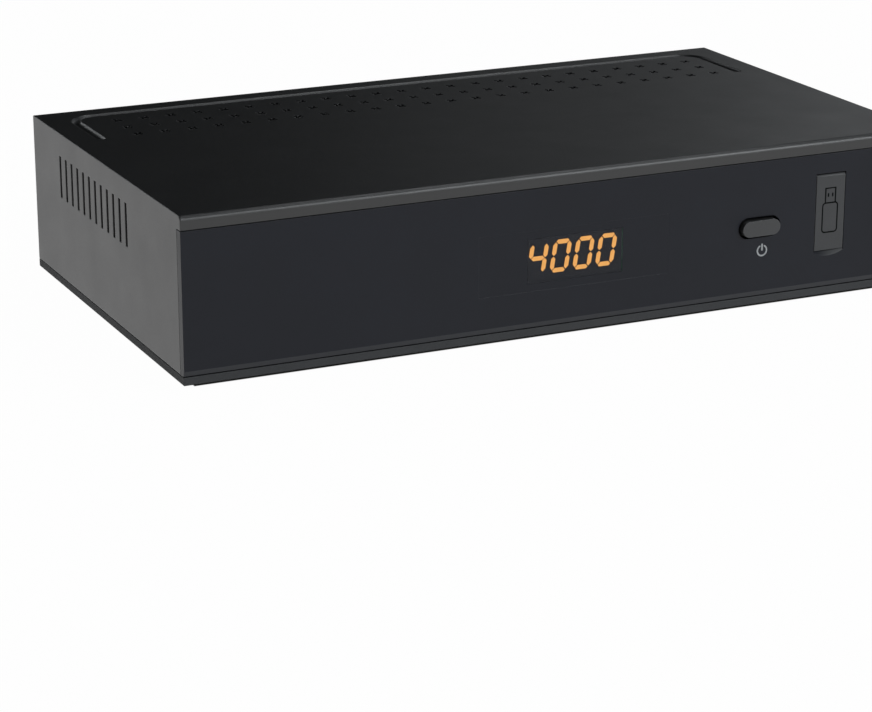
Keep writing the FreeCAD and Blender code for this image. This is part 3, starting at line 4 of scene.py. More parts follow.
import bmesh
import bpy
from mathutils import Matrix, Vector


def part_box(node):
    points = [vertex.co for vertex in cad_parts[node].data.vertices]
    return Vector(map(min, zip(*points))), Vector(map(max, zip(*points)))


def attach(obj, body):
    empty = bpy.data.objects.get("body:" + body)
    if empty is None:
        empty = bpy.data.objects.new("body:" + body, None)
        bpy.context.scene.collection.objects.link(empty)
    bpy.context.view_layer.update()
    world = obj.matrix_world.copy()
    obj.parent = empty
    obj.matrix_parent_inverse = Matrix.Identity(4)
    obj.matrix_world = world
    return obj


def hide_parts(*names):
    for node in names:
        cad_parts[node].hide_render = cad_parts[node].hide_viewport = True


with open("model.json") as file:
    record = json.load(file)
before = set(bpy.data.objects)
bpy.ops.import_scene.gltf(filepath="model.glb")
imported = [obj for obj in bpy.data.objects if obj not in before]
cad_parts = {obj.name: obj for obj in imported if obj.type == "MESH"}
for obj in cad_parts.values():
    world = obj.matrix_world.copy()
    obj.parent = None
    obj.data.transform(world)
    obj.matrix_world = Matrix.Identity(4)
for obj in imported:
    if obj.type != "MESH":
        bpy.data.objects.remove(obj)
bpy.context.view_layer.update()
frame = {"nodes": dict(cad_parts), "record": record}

# Flat black satellite receiver. Metres, +X right, +Y back, +Z up, on the floor at Z = 0.

MM = 0.001
FRONT_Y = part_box("front_panel")[0].y
NODES = frame["nodes"]


# Shader writing

class Wire:
    """One output of a shader node; arithmetic on wires adds Math nodes."""

    def __init__(self, finish, socket):
        self.finish, self.socket = finish, socket

    def math(self, operation, *others):
        inputs = dict(enumerate((self,) + others))
        return self.finish.node("ShaderNodeMath", {"operation": operation}, inputs)

    def flipped(self, operation, other):
        return self.finish.node("ShaderNodeMath", {"operation": operation}, {0: other, 1: self})

    def __add__(self, other):
        return self.math("ADD", other)

    def __sub__(self, other):
        return self.math("SUBTRACT", other)

    def __mul__(self, other):
        return self.math("MULTIPLY", other)

    def __truediv__(self, other):
        return self.math("DIVIDE", other)

    __radd__ = __add__
    __rmul__ = __mul__

    def __rsub__(self, other):
        return self.flipped("SUBTRACT", other)

    def __rtruediv__(self, other):
        return self.flipped("DIVIDE", other)

    def __abs__(self):
        return self.math("ABSOLUTE")

    def rise(self, low, high):
        """0 below low, 1 above high and a smooth ramp between; high may be the smaller."""
        first, last, to_low, to_high = (low, high, 0.0, 1.0) if low < high else (high, low, 1.0, 0.0)
        return self.finish.node(
            "ShaderNodeMapRange",
            {"interpolation_type": "SMOOTHSTEP"},
            {"Value": self, "From Min": first, "From Max": last, "To Min": to_low, "To Max": to_high},
        )

    def either(self, other):
        return self.math("MAXIMUM", other)

    def both(self, other):
        return self.math("MINIMUM", other)


class Nodes:
    """A node tree, to which one method adds every node."""

    def __init__(self, tree):
        self.tree = tree

    def node(self, kind, settings=None, inputs=None, output=0):
        made = self.tree.nodes.new(kind)
        for name, value in (settings or {}).items():
            setattr(made, name, value)
        for name, value in (inputs or {}).items():
            self.join(value, made.inputs[name])
        return Wire(self, made.outputs[output])

    def join(self, value, socket):
        if isinstance(value, Wire):
            self.tree.links.new(value.socket, socket)
        else:
            socket.default_value = value

    def parts(self, vector):
        """The X, Y and Z of a vector."""
        split = self.node("ShaderNodeSeparateXYZ", inputs={"Vector": vector})
        return [Wire(self, socket) for socket in split.socket.node.outputs]

    def blend(self, factor, first, second):
        """A colour between two: Mix has its colours in sockets 6 and 7, and its result in output 2."""
        return self.node("ShaderNodeMix", {"data_type": "RGBA"}, {"Factor": factor, 6: first, 7: second}, 2)


class Finish(Nodes):
    """A node material around one Principled shader, whose constants are set by socket name."""

    def __init__(self, name, **constants):
        self.material = bpy.data.materials.new(name)
        self.material.use_nodes = True
        super().__init__(self.material.node_tree)
        self.shader = self.tree.nodes["Principled BSDF"]
        for socket, value in constants.items():
            self.shader.inputs[socket.replace("_", " ")].default_value = value

    def feed(self, **inputs):
        for name, wire in inputs.items():
            self.join(wire, self.shader.inputs[name.replace("_", " ")])

    def place(self):
        """Where a point is on the object at rest, in metres."""
        return self.node("ShaderNodeTexCoord", output="Object")

    def axes(self):
        return self.parts(self.place())

    def noise(self, size_mm, detail=2.0, roughness=0.5, stretch=(1, 1, 1)):
        where = self.node(
            "ShaderNodeVectorMath", {"operation": "MULTIPLY"}, {0: self.place(), 1: stretch}
        )
        return self.node(
            "ShaderNodeTexNoise",
            inputs={"Vector": where, "Scale": 1 / (size_mm * MM), "Detail": detail, "Roughness": roughness},
        )

    def cells(self, size_mm, feature="F1", output="Distance"):
        return self.node(
            "ShaderNodeTexVoronoi",
            {"feature": feature},
            {"Vector": self.place(), "Scale": 1 / (size_mm * MM)},
            output,
        )

    def edges(self, width_mm):
        """1 on flat faces and less on edges, where a rounded normal turns away from the true one."""
        rounded = self.node("ShaderNodeBevel", {"samples": 4}, {"Radius": width_mm * MM})
        true = self.node("ShaderNodeNewGeometry", output="Normal")
        return self.node(
            "ShaderNodeVectorMath", {"operation": "DOT_PRODUCT"}, {0: rounded, 1: true}, "Value"
        )

    def open_air(self, reach_mm, low, high):
        """0 deep in a gap or slot and 1 where the surface lies open."""
        near = self.node("ShaderNodeAmbientOcclusion", {"samples": 8}, {"Distance": reach_mm * MM}, "AO")
        return near.rise(low, high)

    def facing(self):
        """The parts of the true normal along X, Y and Z."""
        return self.parts(self.node("ShaderNodeNewGeometry", output="Normal"))

    def bump(self, height, depth_mm, strength=1.0, round_mm=0.0):
        inputs = {"Height": height, "Distance": depth_mm * MM, "Strength": strength}
        if round_mm:
            inputs["Normal"] = self.node("ShaderNodeBevel", {"samples": 4}, {"Radius": round_mm * MM})
        return self.node("ShaderNodeBump", inputs=inputs)


def colour(red, green, blue):
    return (red, green, blue, 1.0)


def scaled(base, factor):
    return colour(*(min(1.0, part * factor) for part in base[:3]))


# Finishes

# Black for the painted shade in gaps and slots.
PAINTED_SHADE_BLACK = colour(0.0, 0.0, 0.0)
GAP_REACH_MM = 4.0


def moulded(
    name, base, roughness=0.5, grain_mm=0.35, grain=0.02, level=0.3, edge_wear_and_highlight=1.5, round_mm=0.25,
    painted_shade_gaps=(0.05, 0.4), painted_underside_tone=None, painted_scoop_highlight=None,
):
    """Moulded plastic: spark-eroded grain, faint cloudy gloss, and edges a little smoother and paler, partly
    as wear and partly as a painted highlight.

    The gap values say how shut in a face is where painted shade turns it black, and where it keeps its own
    tone.
    Faces that look down get a painted tone: painted shade on the base's lower edge, painted light on the
    panel's lower strip.
    Faces that look up and left get a painted highlight, used in the panel's finger scoop."""
    it = Finish(name, Specular_IOR_Level=level)
    clouds = it.noise(14.0, 3.0)
    speck = it.noise(grain_mm, 3.0, 0.6)
    edge_band = it.edges(0.35).rise(0.985, 0.90)
    tone = it.blend(clouds.rise(0.35, 0.7), scaled(base, 0.93), scaled(base, 1.07))
    tone = it.blend(speck.rise(0.3, 0.75) * 0.5, tone, scaled(base, 1.18))
    # Edges paler: a little as wear, and with a large factor a painted highlight, as on the button's rim.
    tone = it.blend(edge_band * 0.45, tone, scaled(base, edge_wear_and_highlight))
    right, _, up = it.facing()
    if painted_underside_tone:
        # Painted tone on faces that look down: painted shade on the base, painted light on the panel.
        tone = it.blend(up.rise(-0.15, -0.35), tone, painted_underside_tone)
    if painted_scoop_highlight:
        # Painted highlight on faces that look up and left, in the panel's finger scoop.
        tone = it.blend(up.rise(0.3, 0.6) * right.rise(0.25, -0.3), tone, painted_scoop_highlight)
    rough = roughness + (clouds - 0.5) * 0.10 + (speck - 0.5) * 0.12 - edge_band * 0.10
    # Painted shade: faces shut in by gaps and slots, as found by ambient occlusion, turn black.
    if painted_shade_gaps:
        outside_painted_shade = it.open_air(GAP_REACH_MM, *painted_shade_gaps)
        tone = it.blend(outside_painted_shade, PAINTED_SHADE_BLACK, tone)
        rough = rough + (1.0 - outside_painted_shade) * 0.4
    it.feed(Base_Color=tone, Roughness=rough, Normal=it.bump(speck, grain, 0.6, round_mm))
    return it.material


def metal(name, base, roughness=0.3, brushed=(1, 1, 1), size_mm=0.5, depth=0.006, stain=0.82):
    """Plated or drawn metal: fine marks along one way, dull patches and bright rubbed edges."""
    it = Finish(name, Metallic=1.0)
    marks = it.noise(size_mm, 4.0, 0.65, brushed)
    patches = it.noise(6.0, 3.0)
    edge_band = it.edges(0.3).rise(0.985, 0.88)
    tone = it.blend(patches.rise(0.4, 0.75), base, scaled(base, stain))
    tone = it.blend(edge_band * 0.5, tone, scaled(base, 1.12))
    rough = roughness + (marks - 0.5) * 0.18 + (patches - 0.5) * 0.16
    it.feed(Base_Color=tone, Roughness=rough, Normal=it.bump(marks, depth, 0.5, 0.15))
    return it.material


def smoked_window(name, base, module):
    """Smoked lens: its front is as dark as the panel around it, and see-through only over the display."""
    it = Finish(name, Specular_IOR_Level=0.25)
    x, y, z = it.axes()
    centre, half = (module[0] + module[1]) / 2, (module[1] - module[0]) / 2
    margin, fade, inner_from, clear = 0.7 * MM, 0.4 * MM, FRONT_Y + 1.0 * MM, 0.85
    across = abs(x - centre.x).rise(half.x - margin, half.x - margin - fade)
    up = abs(z - centre.z).rise(half.z - margin, half.z - margin - fade)
    inner_face = y.rise(inner_from, inner_from + 0.2 * MM)
    from_inside = it.node("ShaderNodeNewGeometry", output="Backfacing")
    for_light = it.node("ShaderNodeLightPath", output="Is Shadow Ray")
    seen_through = (across * up * clear).either(inner_face).either(from_inside).either(for_light)
    clouds = it.noise(14.0, 3.0)
    tone = it.blend(clouds.rise(0.35, 0.7), scaled(base, 0.95), scaled(base, 1.05))
    speck = it.noise(0.35, 3.0, 0.6)
    it.feed(
        Base_Color=tone,
        Roughness=0.42 + (clouds - 0.5) * 0.08,
        Alpha=1.0 - seen_through,
        Normal=it.bump(speck, 0.01, 0.4),
    )
    return it.material


def lit_segment(name, base):
    """Amber light behind a diffuser, a little uneven."""
    it = Finish(name, Base_Color=scaled(base, 0.15), Roughness=0.5, Emission_Strength=0.88)
    glow = it.noise(1.1, 1.0)
    it.feed(Emission_Color=it.blend(glow.rise(0.3, 0.7), scaled(base, 0.94), base))
    return it.material


def board_laminate(name, base):
    """Solder mask with copper tracks showing through, pads and a faint glass weave."""
    it = Finish(name, Specular_IOR_Level=0.5)
    tracks = it.cells(3.4, "DISTANCE_TO_EDGE")
    copper = tracks.rise(0.055, 0.035)
    pads = it.cells(2.3).rise(0.12, 0.09)
    weave = it.noise(0.4, 2.0, 0.5, (1, 3, 1))
    tone = it.blend(copper * 0.7, base, scaled(base, 1.9))
    tone = it.blend(pads, tone, colour(0.62, 0.61, 0.57))
    it.feed(
        Base_Color=tone,
        Metallic=pads * 0.9,
        Roughness=0.32 + (weave - 0.5) * 0.1 - pads * 0.05,
        Normal=it.bump(copper + weave * 0.2, 0.03, 0.7),
    )
    return it.material


def sleeve(name, base, can):
    """Capacitors: a dark shrink sleeve with a pale stripe, and a bare scored aluminium top."""
    it = Finish(name)
    x, _, z = it.axes()
    top, side, middle = can[1].z, can[0].x, (can[0].x + can[1].x) / 2
    bare = z.rise(top - 0.25 * MM, top - 0.05 * MM)
    stripe = x.rise(side + 0.9 * MM, side + 0.6 * MM)
    score = abs(x - middle).rise(0.35 * MM, 0.15 * MM) * bare
    tone = it.blend(stripe, base, colour(0.42, 0.43, 0.46))
    tone = it.blend(bare, tone, colour(0.62, 0.63, 0.64))
    tone = it.blend(score * 0.6, tone, colour(0.2, 0.2, 0.2))
    grain = it.noise(0.6, 3.0)
    it.feed(
        Base_Color=tone,
        Metallic=bare,
        Roughness=0.35 + (grain - 0.5) * 0.15,
        Normal=it.bump(grain - score * 2, 0.02, 0.5, 0.3),
    )
    return it.material


RIBBON_CORES = 15


def ribbon_plastic(name, base, cable):
    """Flat cable: a row of ribbed conductors, the first one marked."""
    it = Finish(name)
    x, _, _ = it.axes()
    pitch = (cable[1].x - cable[0].x) / RIBBON_CORES
    along = ((x - cable[0].x) / pitch).math("FRACT")
    groove = abs(along - 0.5).rise(0.38, 0.5)
    marked = x.rise(cable[0].x + pitch, cable[0].x + 0.9 * pitch)
    tone = it.blend(groove * 0.6, base, scaled(base, 0.55))
    tone = it.blend(marked, tone, colour(0.45, 0.05, 0.04))
    it.feed(
        Base_Color=tone,
        Roughness=0.45 + (it.noise(2.0) - 0.5) * 0.1,
        Normal=it.bump(1.0 - groove, 0.15, 0.8),
    )
    return it.material


def printed_ink(name, base, level=0.3):
    """Pad-printed ink: slightly uneven cover with a matt grain."""
    it = Finish(name, Specular_IOR_Level=level)
    cover = it.noise(0.25, 3.0)
    it.feed(
        Base_Color=it.blend(cover.rise(0.3, 0.7), scaled(base, 0.88), base),
        Roughness=0.55 + (cover - 0.5) * 0.15,
        Normal=it.bump(cover, 0.01, 0.5),
    )
    return it.material


SLOT_OF = {part["node"]: part["material_slot"] for part in frame["record"]["subparts"]}
BRUSHED_X, BRUSHED_Y = (0.08, 1, 1), (1, 0.08, 1)
COVER = colour(0.0021, 0.0026, 0.0031)
PANEL = colour(0.0085, 0.0098, 0.0150)
# The display module's face is paler than the panel as painted light, to make up for the shade behind the
# smoked lens.
DISPLAY = colour(0.0180, 0.0190, 0.0240)
FINISHES = {
    "cover_plastic": moulded("cover_plastic", COVER, 0.44, level=0.78, round_mm=0.4, painted_shade_gaps=(0.02, 0.25)),
    "base_plastic": moulded(
        "base_plastic", colour(0.0635, 0.0650, 0.0676), 0.6, level=0.12,
        # Base: painted shade along its lower edge next to the floor.
        painted_underside_tone=colour(0.004, 0.004, 0.004),
    ),
    "panel_plastic": moulded(
        "panel_plastic", PANEL, 0.42, grain=0.008, level=0.25, edge_wear_and_highlight=1.3,
        # Panel: painted light from the floor on its lower strip, and a painted highlight in the finger scoop.
        painted_underside_tone=colour(0.031, 0.033, 0.038), painted_scoop_highlight=colour(0.098, 0.100, 0.102),
    ),
    "smoked_window": smoked_window("smoked_window", PANEL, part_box("display_module")),
    "button_plastic": moulded(
        "button_plastic", colour(0.043, 0.044, 0.046), 0.38, grain_mm=0.25, grain=0.01, level=0.5,
        # Button: edges much paler as a painted rim highlight, and its gaps painted black as shade.
        edge_wear_and_highlight=2.8, round_mm=0.15, painted_shade_gaps=(0.35, 0.75),
    ),
    "flap_plastic": moulded("flap_plastic", colour(0.058, 0.059, 0.061), 0.45, grain_mm=0.25, grain=0.01),
    "foot_rubber": moulded(
        "foot_rubber", colour(0.022, 0.022, 0.022), 0.8, grain_mm=0.6, grain=0.04, level=0.2,
    ),
    "screw_steel": metal("screw_steel", colour(0.52, 0.52, 0.52), 0.32),
    "component_plastic": moulded(
        "component_plastic", colour(0.026, 0.026, 0.028), 0.6, grain_mm=0.2, grain=0.02,
    ),
    "shell_steel": metal("shell_steel", colour(0.62, 0.62, 0.60), 0.28, brushed=BRUSHED_Y),
    "contact_plastic": moulded(
        "contact_plastic", colour(0.020, 0.020, 0.022), 0.4, grain_mm=0.3, grain=0.01,
    ),
    # Paler than the panel: painted light for the shade behind the lens.
    "display_plastic": moulded(
        "display_plastic", DISPLAY, 0.42, grain_mm=0.3, grain=0.01, level=0.25, painted_shade_gaps=None,
    ),
    "segment_light": lit_segment("segment_light", colour(1.0, 0.47, 0.12)),
    "lens_plastic": moulded(
        "lens_plastic", colour(0.012, 0.008, 0.012), 0.12, grain_mm=2.0, grain=0.005, level=0.5,
    ),
    "board_laminate": board_laminate("board_laminate", colour(0.010, 0.085, 0.035)),
    "sink_aluminium": metal(
        "sink_aluminium", colour(0.60, 0.61, 0.62), 0.4, brushed=BRUSHED_Y, size_mm=0.4, depth=0.012,
    ),
    "capacitor_sleeve": sleeve("capacitor_sleeve", colour(0.020, 0.022, 0.045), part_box("capacitors")),
    "ferrite": moulded("ferrite", colour(0.060, 0.060, 0.062), 0.7, grain_mm=0.5, grain=0.05, level=0.3),
    "reader_plastic": moulded("reader_plastic", colour(0.030, 0.030, 0.032), 0.5, grain_mm=0.4, grain=0.02),
    "header_plastic": moulded(
        "header_plastic", colour(0.75, 0.72, 0.62), 0.4, grain_mm=0.5, grain=0.01, level=0.5, edge_wear_and_highlight=1.05,
    ),
    "ribbon_plastic": ribbon_plastic("ribbon_plastic", colour(0.60, 0.60, 0.60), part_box("ribbon_cable")),
    "tinned_steel": metal(
        "tinned_steel", colour(0.66, 0.66, 0.65), 0.30, brushed=BRUSHED_X, size_mm=1.2, depth=0.01,
    ),
    "nickel_plate": metal("nickel_plate", colour(0.72, 0.71, 0.68), 0.18),
    "insulator_plastic": moulded(
        "insulator_plastic", colour(0.82, 0.82, 0.79), 0.4, grain_mm=0.5, grain=0.01, level=0.5,
        edge_wear_and_highlight=1.05,
    ),
    "socket_plastic": moulded(
        "socket_plastic", colour(0.022, 0.022, 0.024), 0.45, grain_mm=0.35, grain=0.012, level=0.3,
    ),
    "gold_plate": metal("gold_plate", colour(0.86, 0.62, 0.27), 0.2),
    "rear_paint": moulded(
        "rear_paint", colour(0.026, 0.026, 0.028), 0.5, grain_mm=0.6, grain=0.05, level=0.4,
    ),
}
INK = printed_ink("pale_ink", colour(0.44, 0.45, 0.46))
# Engraved lines drawn as a thin dark sheet: painted shade for the cuts.
ENGRAVED_LINE_SHADE = printed_ink("dark_line", colour(0.002, 0.002, 0.002), 0.05)


def dress(node):
    """Give a CAD node the finish of its slot."""
    thing = NODES[node]
    thing.data.materials.clear()
    thing.data.materials.append(FINISHES[SLOT_OF[node]])


for node in NODES:
    dress(node)


def round_edges(node, width_mm, segments=3):
    """Round a CAD node's sharp edges by a modifier; its own mesh stays as it is."""
    thing = NODES[node]
    weld = thing.modifiers.new("weld", "WELD")
    weld.merge_threshold = 0.001 * MM
    bevel = thing.modifiers.new("rounded", "BEVEL")
    bevel.width = width_mm * MM
    bevel.segments = segments
    bevel.limit_method = "ANGLE"
    bevel.angle_limit = math.radians(50)
    bevel.harden_normals = True


round_edges("power_button", 0.22)
round_edges("socket_flap", 0.22)
round_edges("lnb_nuts", 0.30, 2)
round_edges("network_socket", 0.15, 2)
round_edges("av_socket", 0.20, 2)
round_edges("dc_jack", 0.20, 2)
round_edges("audio_barrel", 0.15, 2)


# Thin printed marks, and engraved lines drawn as painted shade

def new_piece(name, shape, body, material, in_place_of=None):
    """A mesh object from (vertices, faces), with its faces turned outward and its round sides smooth."""
    verts, faces = shape
    mesh = bpy.data.meshes.new(name)
    mesh.from_pydata(verts, [], faces)
    shell = bmesh.new()
    shell.from_mesh(mesh)
    bmesh.ops.recalc_face_normals(shell, faces=shell.faces)
    for face in shell.faces:
        face.smooth = True
    shell.to_mesh(mesh)
    shell.free()
    mesh.set_sharp_from_angle(angle=math.radians(38))
    mesh.materials.append(material)
    piece = bpy.data.objects.new(name, mesh)
    bpy.context.scene.collection.objects.link(piece)
    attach(piece, body)
    if in_place_of:
        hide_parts(in_place_of)
    return piece


CAP_ANGLES = (0.5, 1.0, 1.4)
SHARPEST_MITRE = 0.6


def stroke(points, width, y_front, thick, closed=False):
    """A flat band of even width along a line in the front plane, with round ends, as vertices and faces."""
    half = width / 2
    points = [Vector(point) for point in points]
    if not closed:
        ends = []
        for tip, inner in ((points[0], points[1]), (points[-1], points[-2])):
            way = (tip - inner).normalized()
            ends.append([(tip + way * half * math.sin(a), half * math.cos(a)) for a in CAP_ANGLES])
        spine = [(p, w) for p, w in reversed(ends[0])] + [(p, half) for p in points] + ends[1]
    else:
        spine = [(p, half) for p in points]
    count = len(spine)
    verts, faces = [], []
    for i, (point, reach) in enumerate(spine):
        before = spine[(i - 1) % count][0] if closed or i else point
        after = spine[(i + 1) % count][0] if closed or i < count - 1 else point
        side = (after - before).normalized()
        side = Vector((-side.y, side.x))
        if 0 < i < count - 1 or closed:
            turn = (point - before).normalized().dot((after - point).normalized())
            reach = reach / max(SHARPEST_MITRE, math.sqrt((1 + turn) / 2))
        for sign in (1, -1):
            for y in (y_front, y_front + thick):
                at = point + side * sign * reach
                verts.append((at.x, y, at.y))
    for i in range(count if closed else count - 1):
        a, b = 4 * i, 4 * ((i + 1) % count)
        faces += [(a, b, b + 2, a + 2), (a, a + 1, b + 1, b)]
        faces += [(a + 2, b + 2, b + 3, a + 3), (a + 1, a + 3, b + 3, b + 1)]
    if not closed:
        last = 4 * (count - 1)
        faces += [(0, 2, 3, 1), (last, last + 1, last + 3, last + 2)]
    return verts, faces


def merged(strokes):
    verts, faces = [], []
    for more_verts, more_faces in strokes:
        base = len(verts)
        verts += more_verts
        faces += [tuple(base + i for i in face) for face in more_faces]
    return verts, faces


def arc(cx, cz, radius, start, end, steps=24):
    """Points round a centre, between two angles in degrees from straight up, clockwise."""
    angles = [math.radians(start + (end - start) * i / steps) for i in range(steps + 1)]
    return [(cx + radius * math.sin(angle), cz + radius * math.cos(angle)) for angle in angles]


INK_Y, INK_THICK = FRONT_Y - 0.02 * MM, 0.03 * MM
MARK_X, MARK_Z = 59.05 * MM, 17.3 * MM
RING_RADIUS, RING_WIDTH, RING_OPENING = 1.46 * MM, 0.45 * MM, 60
BAR_LOW, BAR_HIGH, BAR_WIDTH = 0.2 * MM, 1.7 * MM, 0.55 * MM
ring = arc(MARK_X, MARK_Z, RING_RADIUS, RING_OPENING / 2, 360 - RING_OPENING / 2)
bar = [(MARK_X, MARK_Z + BAR_LOW), (MARK_X, MARK_Z + BAR_HIGH)]
standby = [stroke(ring, RING_WIDTH, INK_Y, INK_THICK), stroke(bar, BAR_WIDTH, INK_Y, INK_THICK)]
new_piece("standby_mark", merged(standby), "case", INK)

flap_low, flap_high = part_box("socket_flap")
FLAP_X, FLAP_Z = (flap_low.x + flap_high.x) / 2, (flap_low.z + flap_high.z) / 2


def rounded_box(cx, cz, width, height, radius, steps=5):
    """The outline of a box with round corners."""
    points = []
    out, up = width / 2 - radius, height / 2 - radius
    for sx, sz, start in ((1, 1, 0), (1, -1, 90), (-1, -1, 180), (-1, 1, 270)):
        points += arc(cx + sx * out, cz + sz * up, radius, start, start + 90, steps)
    return points


LINE = 0.40 * MM
SIGN_Y, SIGN_THICK = flap_low.y - 0.01 * MM, 0.02 * MM
GRIP_WIDTH, GRIP_HEIGHT, GRIP_CORNER, GRIP_BELOW = 4.8 * MM, 8.4 * MM, 0.9 * MM, 1.6 * MM
PLUG_HALF, PLUG_LOW, PLUG_HIGH = 1.6 * MM, 2.6 * MM, 6.8 * MM
HOLE_SIDE, HOLE_LOW, HOLE_HIGH, HOLE_WIDTH = 0.68 * MM, 4.5 * MM, 5.2 * MM, 0.45 * MM
grip = rounded_box(FLAP_X, FLAP_Z - GRIP_BELOW, GRIP_WIDTH, GRIP_HEIGHT, GRIP_CORNER)
plug = [
    (FLAP_X + side * PLUG_HALF, FLAP_Z + height)
    for side, height in ((-1, PLUG_LOW), (-1, PLUG_HIGH), (1, PLUG_HIGH), (1, PLUG_LOW))
]
stick = [stroke(grip, LINE, SIGN_Y, SIGN_THICK, True), stroke(plug, LINE, SIGN_Y, SIGN_THICK)]
for side in (-1, 1):
    x = FLAP_X + side * HOLE_SIDE
    hole = [(x, FLAP_Z + HOLE_LOW), (x, FLAP_Z + HOLE_HIGH)]
    stick.append(stroke(hole, HOLE_WIDTH, SIGN_Y, SIGN_THICK))
# The flap's engraved sign, drawn as painted shade.
new_piece("flap_sign", merged(stick), "socket_flap", ENGRAVED_LINE_SHADE)

# Threads and contacts of the sockets

THREAD_PITCH, THREAD_DEPTH, STEPS_A_TURN = 0.794 * MM, 0.40 * MM, 6


def turned(rows, x, z, count=40):
    """A closed turned solid along Y, from (y, radius, thread depth) rows that begin and end on the axis."""
    verts, faces, rings = [], [], []
    for y, radius, depth in rows:
        around = count if radius else 1
        rings.append(range(len(verts), len(verts) + around))
        for share in (i / count for i in range(around)):
            flank = abs(2 * ((y / THREAD_PITCH - share) % 1.0) - 1)
            reach = radius - depth * flank
            verts.append((x + reach * math.sin(math.tau * share), y, z + reach * math.cos(math.tau * share)))
    for near, far in zip(rings, rings[1:]):
        for i in range(count):
            j = (i + 1) % count
            corners = (near[i % len(near)], near[j % len(near)], far[j % len(far)], far[i % len(far)])
            faces.append(tuple(dict.fromkeys(corners)))
    return verts, faces


def lnb_socket(node):
    """The threaded socket: smooth shank in the wall, a cut thread to the tip, and the bore for its insert."""
    low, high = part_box(node)
    x, z, shank = (low.x + high.x) / 2, (low.z + high.z) / 2, (high.x - low.x) / 2
    crest, bore, tip = shank - 0.24 * MM, shank - 1.6 * MM, high.y
    start, bore_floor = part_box("lnb_nuts")[1].y + 0.3 * MM, low.y + 1 * MM
    rows = [(low.y, 0, 0), (low.y, shank, 0), (start - 0.15 * MM, shank, 0), (start, crest, 0)]
    length, run_outs = tip - start - 1.1 * MM, 8
    steps = STEPS_A_TURN * round(length / THREAD_PITCH)
    for i in range(steps + 1):
        share = i / steps
        cut_in = min(1.0, share * run_outs, (1 - share) * run_outs)
        rows.append((start + 0.5 * MM + share * length, crest, THREAD_DEPTH * cut_in))
    rows += [(tip - 0.3 * MM, crest - 0.05 * MM, 0), (tip, crest - 0.35 * MM, 0), (tip, bore + 0.15 * MM, 0)]
    rows += [(tip - 0.15 * MM, bore, 0), (bore_floor, bore, 0), (bore_floor, 0, 0)]
    new_piece(f"threaded_{node}", turned(rows, x, z), "case", FINISHES[SLOT_OF[node]], node)


for node in ("lnb_in_socket", "lnb_out_socket"):
    lnb_socket(node)


def strip(path, across, width, thick):
    """A bent metal strip along a path, with its width along `across`."""
    path, across = [Vector(point) for point in path], Vector(across)
    verts, faces = [], []
    for i, at in enumerate(path):
        way = (path[min(i + 1, len(path) - 1)] - path[max(i - 1, 0)]).normalized()
        out, side = way.cross(across) * thick / 2, across * width / 2
        verts += [at + side + out, at - side + out, at - side - out, at + side - out]
    last = len(verts) - 4
    for a in range(0, last, 4):
        faces += [(a + j, a + (j + 1) % 4, a + 4 + (j + 1) % 4, a + 4 + j) for j in range(4)]
    return verts, faces + [(0, 1, 2, 3), (last, last + 1, last + 2, last + 3)]


def contacts(name, strips, slot="gold_plate"):
    new_piece(name, merged(strips), "case", FINISHES[slot])


ACROSS_X, ACROSS_Z = (1, 0, 0), (0, 0, 1)


def network_contacts():
    """Eight spring wires that come down from the cavity's roof at the mouth and slope to the back."""
    low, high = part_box("network_socket")
    middle, roof, mouth = (low.x + high.x) / 2, high.z - 2.85 * MM, high.y
    count, pitch, width, thick = 8, 1.02 * MM, 0.45 * MM, 0.3 * MM
    bends = ((1.6, 0.0), (2.4, 0.25), (9.0, 3.6), (10.0, 3.8), (10.8, 3.4))
    springs = []
    for i in range(count):
        x = middle + (i - (count - 1) / 2) * pitch
        path = [(x, mouth - deep * MM, roof - down * MM) for deep, down in bends]
        springs.append(strip(path, ACROSS_X, width, thick))
    contacts("network_contacts", springs)


def av_contacts():
    """A bowed leaf in each of the twenty slots of the television socket."""
    low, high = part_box("av_socket")
    middle_x, middle_z = (low.x + high.x) / 2, (low.z + high.z) / 2
    a_row, pitch, row_offset, width, thick = 10, 3.81 * MM, 2.7 * MM, 2.7 * MM, 0.22 * MM
    bends = ((0.7, -0.30), (1.4, 0.05), (2.6, 0.22), (4.4, 0.10), (6.2, -0.18), (7.6, -0.30))
    leaves = []
    for row in (-1, 1):
        for j in range(a_row):
            x = middle_x + (j - (a_row - 1) / 2 + row / 4) * pitch
            z = middle_z + row * row_offset
            path = [(x + bow * MM, high.y - deep * MM, z) for deep, bow in bends]
            leaves.append(strip(path, ACROSS_Z, width, thick))
    contacts("av_contacts", leaves, "nickel_plate")


def video_contacts():
    """Flat contacts on both sides of the video socket's tongue."""
    low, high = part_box("video_socket_tongue")
    middle, pitch, width, thick = (low.x + high.x) / 2, 1.0 * MM, 0.45 * MM, 0.12 * MM
    pads = []
    for count, z in ((10, high.z), (9, low.z)):
        for i in range(count):
            x = middle + (i - (count - 1) / 2) * pitch
            path = [(x, y, z) for y in (high.y - 0.35 * MM, high.y - 0.6 * MM, low.y + 0.1 * MM)]
            pads.append(strip(path, ACROSS_X, width, thick))
    contacts("video_contacts", pads)


def front_socket_contacts():
    """Four flat contacts on the open side of the front socket's tongue; the outer two reach forward."""
    low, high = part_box("front_socket_tongue")
    middle, width, thick = (low.z + high.z) / 2, 1.1 * MM, 0.16 * MM
    pads = []
    for height, back in ((-3.5, 0.5), (-1.0, 1.5), (1.0, 1.5), (3.5, 0.5)):
        z = middle + height * MM
        path = [(low.x, y, z) for y in (low.y + back * MM, low.y + (back + 0.3) * MM, high.y - 0.2 * MM)]
        pads.append(strip(path, ACROSS_Z, width, thick))
    contacts("front_socket_contacts", pads)


network_contacts()
av_contacts()
video_contacts()
front_socket_contacts()


# Room, light and camera

